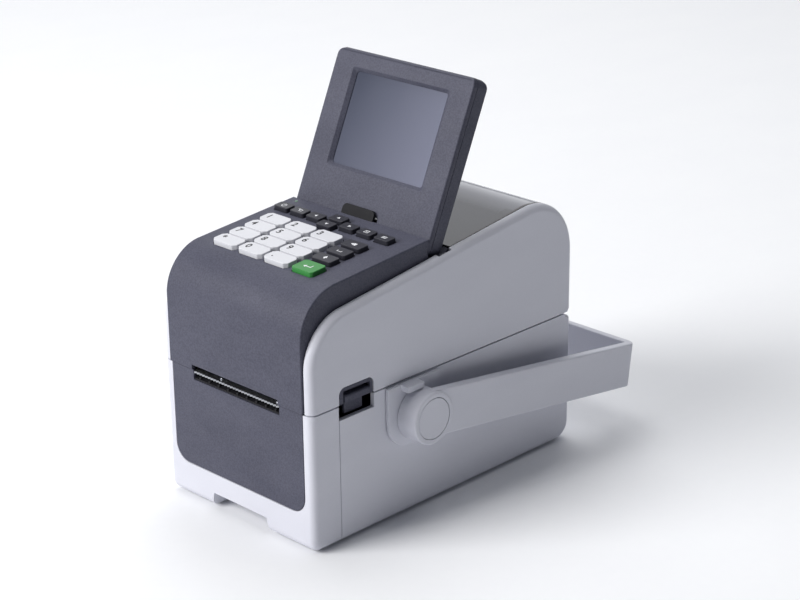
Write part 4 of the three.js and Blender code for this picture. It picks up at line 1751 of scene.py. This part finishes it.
@dataclass
class CarryHandle:
    """The handle, its hub caps and the brackets it turns on, drawn with the pivot at the origin."""

    reach: float = 171.0
    above: float = 15.0
    below: float = 11.2
    inner: float = 67.1
    outer: float = 72.3
    corner: float = 6.0
    hub: float = 14.6
    hub_span: Span = (60.7, 73.8)
    cap: float = 11.5
    cap_thick: float = 2.0
    stud: float = 5.0
    seat: Seat = Seat(0.0, 73.0, 58.0, -8.0)

    def hub_rod(self, side: int) -> Workpiece:
        """Makes one hub with its rounded rims.

        Args:
            side: -1 for the left side, 1 for the right.

        Returns:
            The hub.
        """
        span = mirrored(side, *self.hub_span)
        work = Workpiece.rod("hub", self.hub, span, 0, 0, 96)
        work.round(Where(x=span[1] if side > 0 else span[0]), 1.1, 5)
        return work.round(Where(x=span[0] if side > 0 else span[1]), 0.5, 3)

    def strap(self) -> Workpiece:
        """Makes the bent strap with a hub at each end.

        Returns:
            The strap with its hubs.
        """
        out, within, bar = self.outer, self.inner, self.outer - self.inner
        work = Workpiece.block("carry_strap", (-out, out), (0, self.reach), (-self.below, self.above))
        work.round(Where(y=self.reach, along=Axis.Z), self.corner, 10)
        tool = Workpiece.block("tool", (-within, within), (-9, self.reach - bar), (-40, 40))
        work.cut(tool.round(Where(y=self.reach - bar, along=Axis.Z), self.corner - bar, 4))
        work.soften(0.9, 4)
        for _, side in SIDES:
            work.add(self.hub_rod(side))
        for _, side in SIDES:
            well = mirrored(side, self.hub_span[1] - self.cap_thick - 0.3, 90)
            work.cut(Workpiece.rod("well", self.cap + 0.3, well, 0, 0, 96))
        work.cut(Workpiece.rod("bore", self.stud + 0.3, (-90, 90), 0, 0, 48))
        return work.weld().smooth(28)

    def hub_cap(self, name: str, side: int) -> Workpiece:
        """Makes the disc that closes a hub.

        Args:
            name: The name of its side.
            side: -1 for the left side, 1 for the right.

        Returns:
            The disc.
        """
        outer = self.hub_span[1]
        span = mirrored(side, outer - self.cap_thick, outer)
        work = Workpiece.rod(f"pivot_cap_{name}", self.cap, span, 0, 0, 96)
        face = span[1] if side > 0 else span[0]
        return work.round(Where(x=face), 0.45, 4).smooth()

    def bracket(self, name: str, side: int) -> Workpiece:
        """Makes the D-shaped plate with its stop and the stud that the hub turns on.

        Args:
            name: The name of its side.
            side: -1 for the left side, 1 for the right.

        Returns:
            The bracket.
        """
        plate = Workpiece.block(f"pivot_plate_{name}", mirrored(side, 58.3, 60.5), (52.5, 91.5), (40.7, 76.9))
        plate.round(Where(z=40.7, along=Axis.X), 16, 14)
        stop = Workpiece.block("stop", mirrored(side, 59.0, 65.8), (62, 74), (73.4, 76.9))
        plate.add(stop)
        end = self.hub_span[1] - self.cap_thick - 1
        plate.add(Workpiece.rod("stud", self.stud, mirrored(side, 59.0, end), 73, 58, 48))
        return plate.soften(0.45, 3).smooth()

    def build(self, shop: Shop) -> None:
        """Builds and installs the handle and its brackets.

        Args:
            shop: The shop that seats and dresses it.
        """
        shop.install(self.strap(), "carry_handle", "light_shell", ["handle"], self.seat)
        for name, side in SIDES:
            cap = self.hub_cap(name, side)
            shop.install(cap, "carry_handle", "light_shell", [f"hub_cap_{name}"], self.seat)
            shop.install(self.bracket(name, side), "base", "light_shell", [f"handle_bracket_{name}"])


@dataclass
class CoverRelease:
    """The recess on each side with its dark plate and the lever that frees the cover."""

    recess: Span = (19.7, 44.5)
    top: float = 87.0
    corner: float = 4.0
    slot: Span = (23.2, 42.2)
    slot_top: float = 84.6

    def recess_tool(self) -> Workpiece:
        """Makes the solid that cuts both recesses in the cover.

        Returns:
            The solid.
        """
        blocks = []
        for _, side in SIDES:
            block = Workpiece.block("recess", mirrored(side, 53, 60), self.recess, (70, self.top))
            blocks.append(block.round(Where(z=self.top, along=Axis.X), self.corner, 8))
        return Workpiece.gather("recesses", blocks)

    def bezel(self, name: str, side: int) -> Workpiece:
        """Makes the dark plate round the lever.

        Args:
            name: The name of its side.
            side: -1 for the left side, 1 for the right.

        Returns:
            The plate.
        """
        front, rear = self.recess[0] + 0.3, self.recess[1] - 0.3
        span = mirrored(side, 55.2, 57.5)
        work = Workpiece.block(f"release_plate_{name}", span, (front, rear), (77.8, self.top - 0.3))
        work.round(Where(z=self.top - 0.3, along=Axis.X), self.corner - 0.3, 8)
        work.cut_block((-90, 90), self.slot, (0, self.slot_top))
        return work.soften(0.3).smooth()

    def lever(self, name: str, side: int) -> Workpiece:
        """Makes the lever with its finger ridge.

        Args:
            name: The name of its side.
            side: -1 for the left side, 1 for the right.

        Returns:
            The lever.
        """
        front, rear = self.slot[0] + 0.5, self.slot[1] - 0.5
        work = Workpiece.block(f"release_{name}", mirrored(side, 52.2, 58), (front, rear), (78.2, 82.2))
        outer = 58 * side
        work.round(Where(x=outer, z=82.2, along=Axis.Y), 1.1, 4)
        work.add_block(mirrored(side, 52.3, 54.2), (26.5, 39.5), (70.2, 89))
        work.add_block(mirrored(side, 50.7, 53), (29.5, 36.5), (70.3, 72.6))
        return work.soften(0.3).smooth()

    def build(self, shop: Shop) -> None:
        """Builds and installs the plates and levers.

        Args:
            shop: The shop that seats and dresses it.
        """
        for name, side in SIDES:
            plate = self.bezel(name, side)
            shop.install(plate, "cover", "dark_shell", [f"release_bezel_{name}"])
            lever = self.lever(name, side)
            shop.install(lever, f"lever_{name}", "dark_shell", [f"release_lever_{name}"])


@dataclass
class Mechanism:
    """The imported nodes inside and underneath, which keep their shapes and get their finishes."""

    dressing: tuple[tuple[str, tuple[str, ...]], ...] = (
        ("black_trim", ("base_plate", "exit_lip", "media_bay", "media_guide_left", "media_guide_right")),
        ("rubber", ("foot_front", "foot_rear", "platen_roller")),
        ("steel", ("tear_bar", "platen_frame", "stepper_motor", "hinge_rod", "platen_shaft")),
        ("alloy", ("print_head",)),
        ("nylon", ("platen_gear", "motor_pinion")),
        ("circuit_board", ("main_board", "keypad_board")),
    )

    def build(self, shop: Shop) -> None:
        """Dresses the mechanism."""
        for finish, names in self.dressing:
            shop.dress(finish, names)


@dataclass(frozen=True)
class SoftLight:
    """A square light: its place and side in metres, its power in watts and its colour."""

    name: str
    place: tuple[float, float, float]
    size: float
    power: float
    colour: tuple[float, float, float]


@dataclass
class Studio:
    """The pale floor, the soft lights and the camera. Angles in degrees, lengths in millimetres."""

    lights: tuple[SoftLight, ...] = (
        SoftLight("key_light", (-1.0, -2.4, 1.7), 1.6, 90.0, (1.0, 0.99, 0.98)),
        SoftLight("top_light", (-0.6, 0.4, 2.4), 2.0, 36.0, (1.0, 1.0, 1.0)),
        SoftLight("back_light", (-2.3, 2.4, 1.5), 2.4, 20.0, (0.97, 0.98, 1.0)),
    )
    aim: tuple[float, float, float] = (0.0, 0.0, 0.08)
    air_colour: Colour = (0.86, 0.9, 1.0, 1.0)
    air_strength: float = 0.13
    target: tuple[float, float, float] = (0.0, 100.0, 80.0)
    azimuth: float = 44.98
    elevation: float = 21.31
    roll: float = 0.71
    shift: tuple[float, float] = (-15.6, -16.4)
    distance: float = 1158.0
    lens: float = 94.23

    def floor(self, paints: Paintbox) -> None:
        """Lays a wide pale floor under the object.

        Args:
            paints: The finishes.
        """
        low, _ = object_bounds()
        clear_selection()
        bpy.ops.mesh.primitive_grid_add(x_subdivisions=8, y_subdivisions=8, size=12, location=(0, 0, low.z))
        floor = bpy.context.object
        floor.name = "studio_floor"
        floor.data.materials.append(paints["floor"])
        floor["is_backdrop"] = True

    def lamp(self, lamp: SoftLight) -> None:
        """Hangs one soft square light that faces the object.

        Args:
            lamp: The light.
        """
        clear_selection()
        bpy.ops.object.light_add(type="AREA", location=lamp.place)
        light = bpy.context.object
        light.name = lamp.name
        light.data.shape = "SQUARE"
        light.data.size = lamp.size
        light.data.energy = lamp.power
        light.data.color = lamp.colour
        aim = Vector(self.aim) - Vector(lamp.place)
        light.rotation_mode = "QUATERNION"
        light.rotation_quaternion = aim.to_track_quat("-Z", "Y")

    def sky(self) -> None:
        """Fills the room with an even pale light."""
        world = bpy.data.worlds.new("studio_air")
        world.use_nodes = True
        air = world.node_tree.nodes["Background"]
        air.inputs["Color"].default_value = self.air_colour
        air.inputs["Strength"].default_value = self.air_strength
        bpy.context.scene.world = world

    def camera(self, datum: Vector) -> None:
        """Sets the camera up.

        Args:
            datum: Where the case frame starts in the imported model, in metres.
        """
        az, el, roll = (math.radians(angle) for angle in (self.azimuth, self.elevation, self.roll))
        back = Vector((math.sin(az) * math.cos(el), -math.cos(az) * math.cos(el), math.sin(el)))
        right = Vector((math.cos(az), math.sin(az), 0))
        up = back.cross(right)
        across, rise = self.shift
        place = Vector(self.target) + back * self.distance
        place += right * (-across * math.cos(roll) - rise * math.sin(roll))
        place += up * (across * math.sin(roll) - rise * math.cos(roll))
        x_axis = right * math.cos(roll) - up * math.sin(roll)
        y_axis = right * math.sin(roll) + up * math.cos(roll)
        data = bpy.data.cameras.new("studio_camera")
        data.lens = self.lens
        data.sensor_width = 36.0
        data.clip_start = 0.01
        camera = bpy.data.objects.new("studio_camera", data)
        turn = Matrix((x_axis, y_axis, back)).transposed().to_4x4()
        camera.matrix_world = Matrix.Translation(datum + MM * place) @ turn
        bpy.context.scene.collection.objects.link(camera)
        bpy.context.scene.camera = camera

    def build(self, shop: Shop) -> None:
        """Builds the studio.

        Args:
            shop: The shop that seats and dresses it.
        """
        self.floor(shop.paints)
        self.sky()
        for light in self.lights:
            self.lamp(light)
        self.camera(shop.datum)
        bpy.context.scene.view_settings.view_transform = "Standard"


def corners() -> list[list[float]]:
    """Gives the object's box as two plain lists."""
    return [list(corner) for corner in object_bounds()]


def main() -> None:
    """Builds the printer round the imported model."""
    logging.basicConfig(level=logging.INFO, format="%(name)s: %(message)s")
    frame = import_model()
    shop = Shop(frame, Paintbox())
    release = CoverRelease()
    Mechanism().build(shop)
    Case().build(shop, release.recess_tool())
    FrontFace().build(shop)
    KeypadDeck().build(shop)
    Display().build(shop)
    CarryHandle().build(shop)
    release.build(shop)
    Studio().build(shop)


if __name__ == "__main__":
    main()
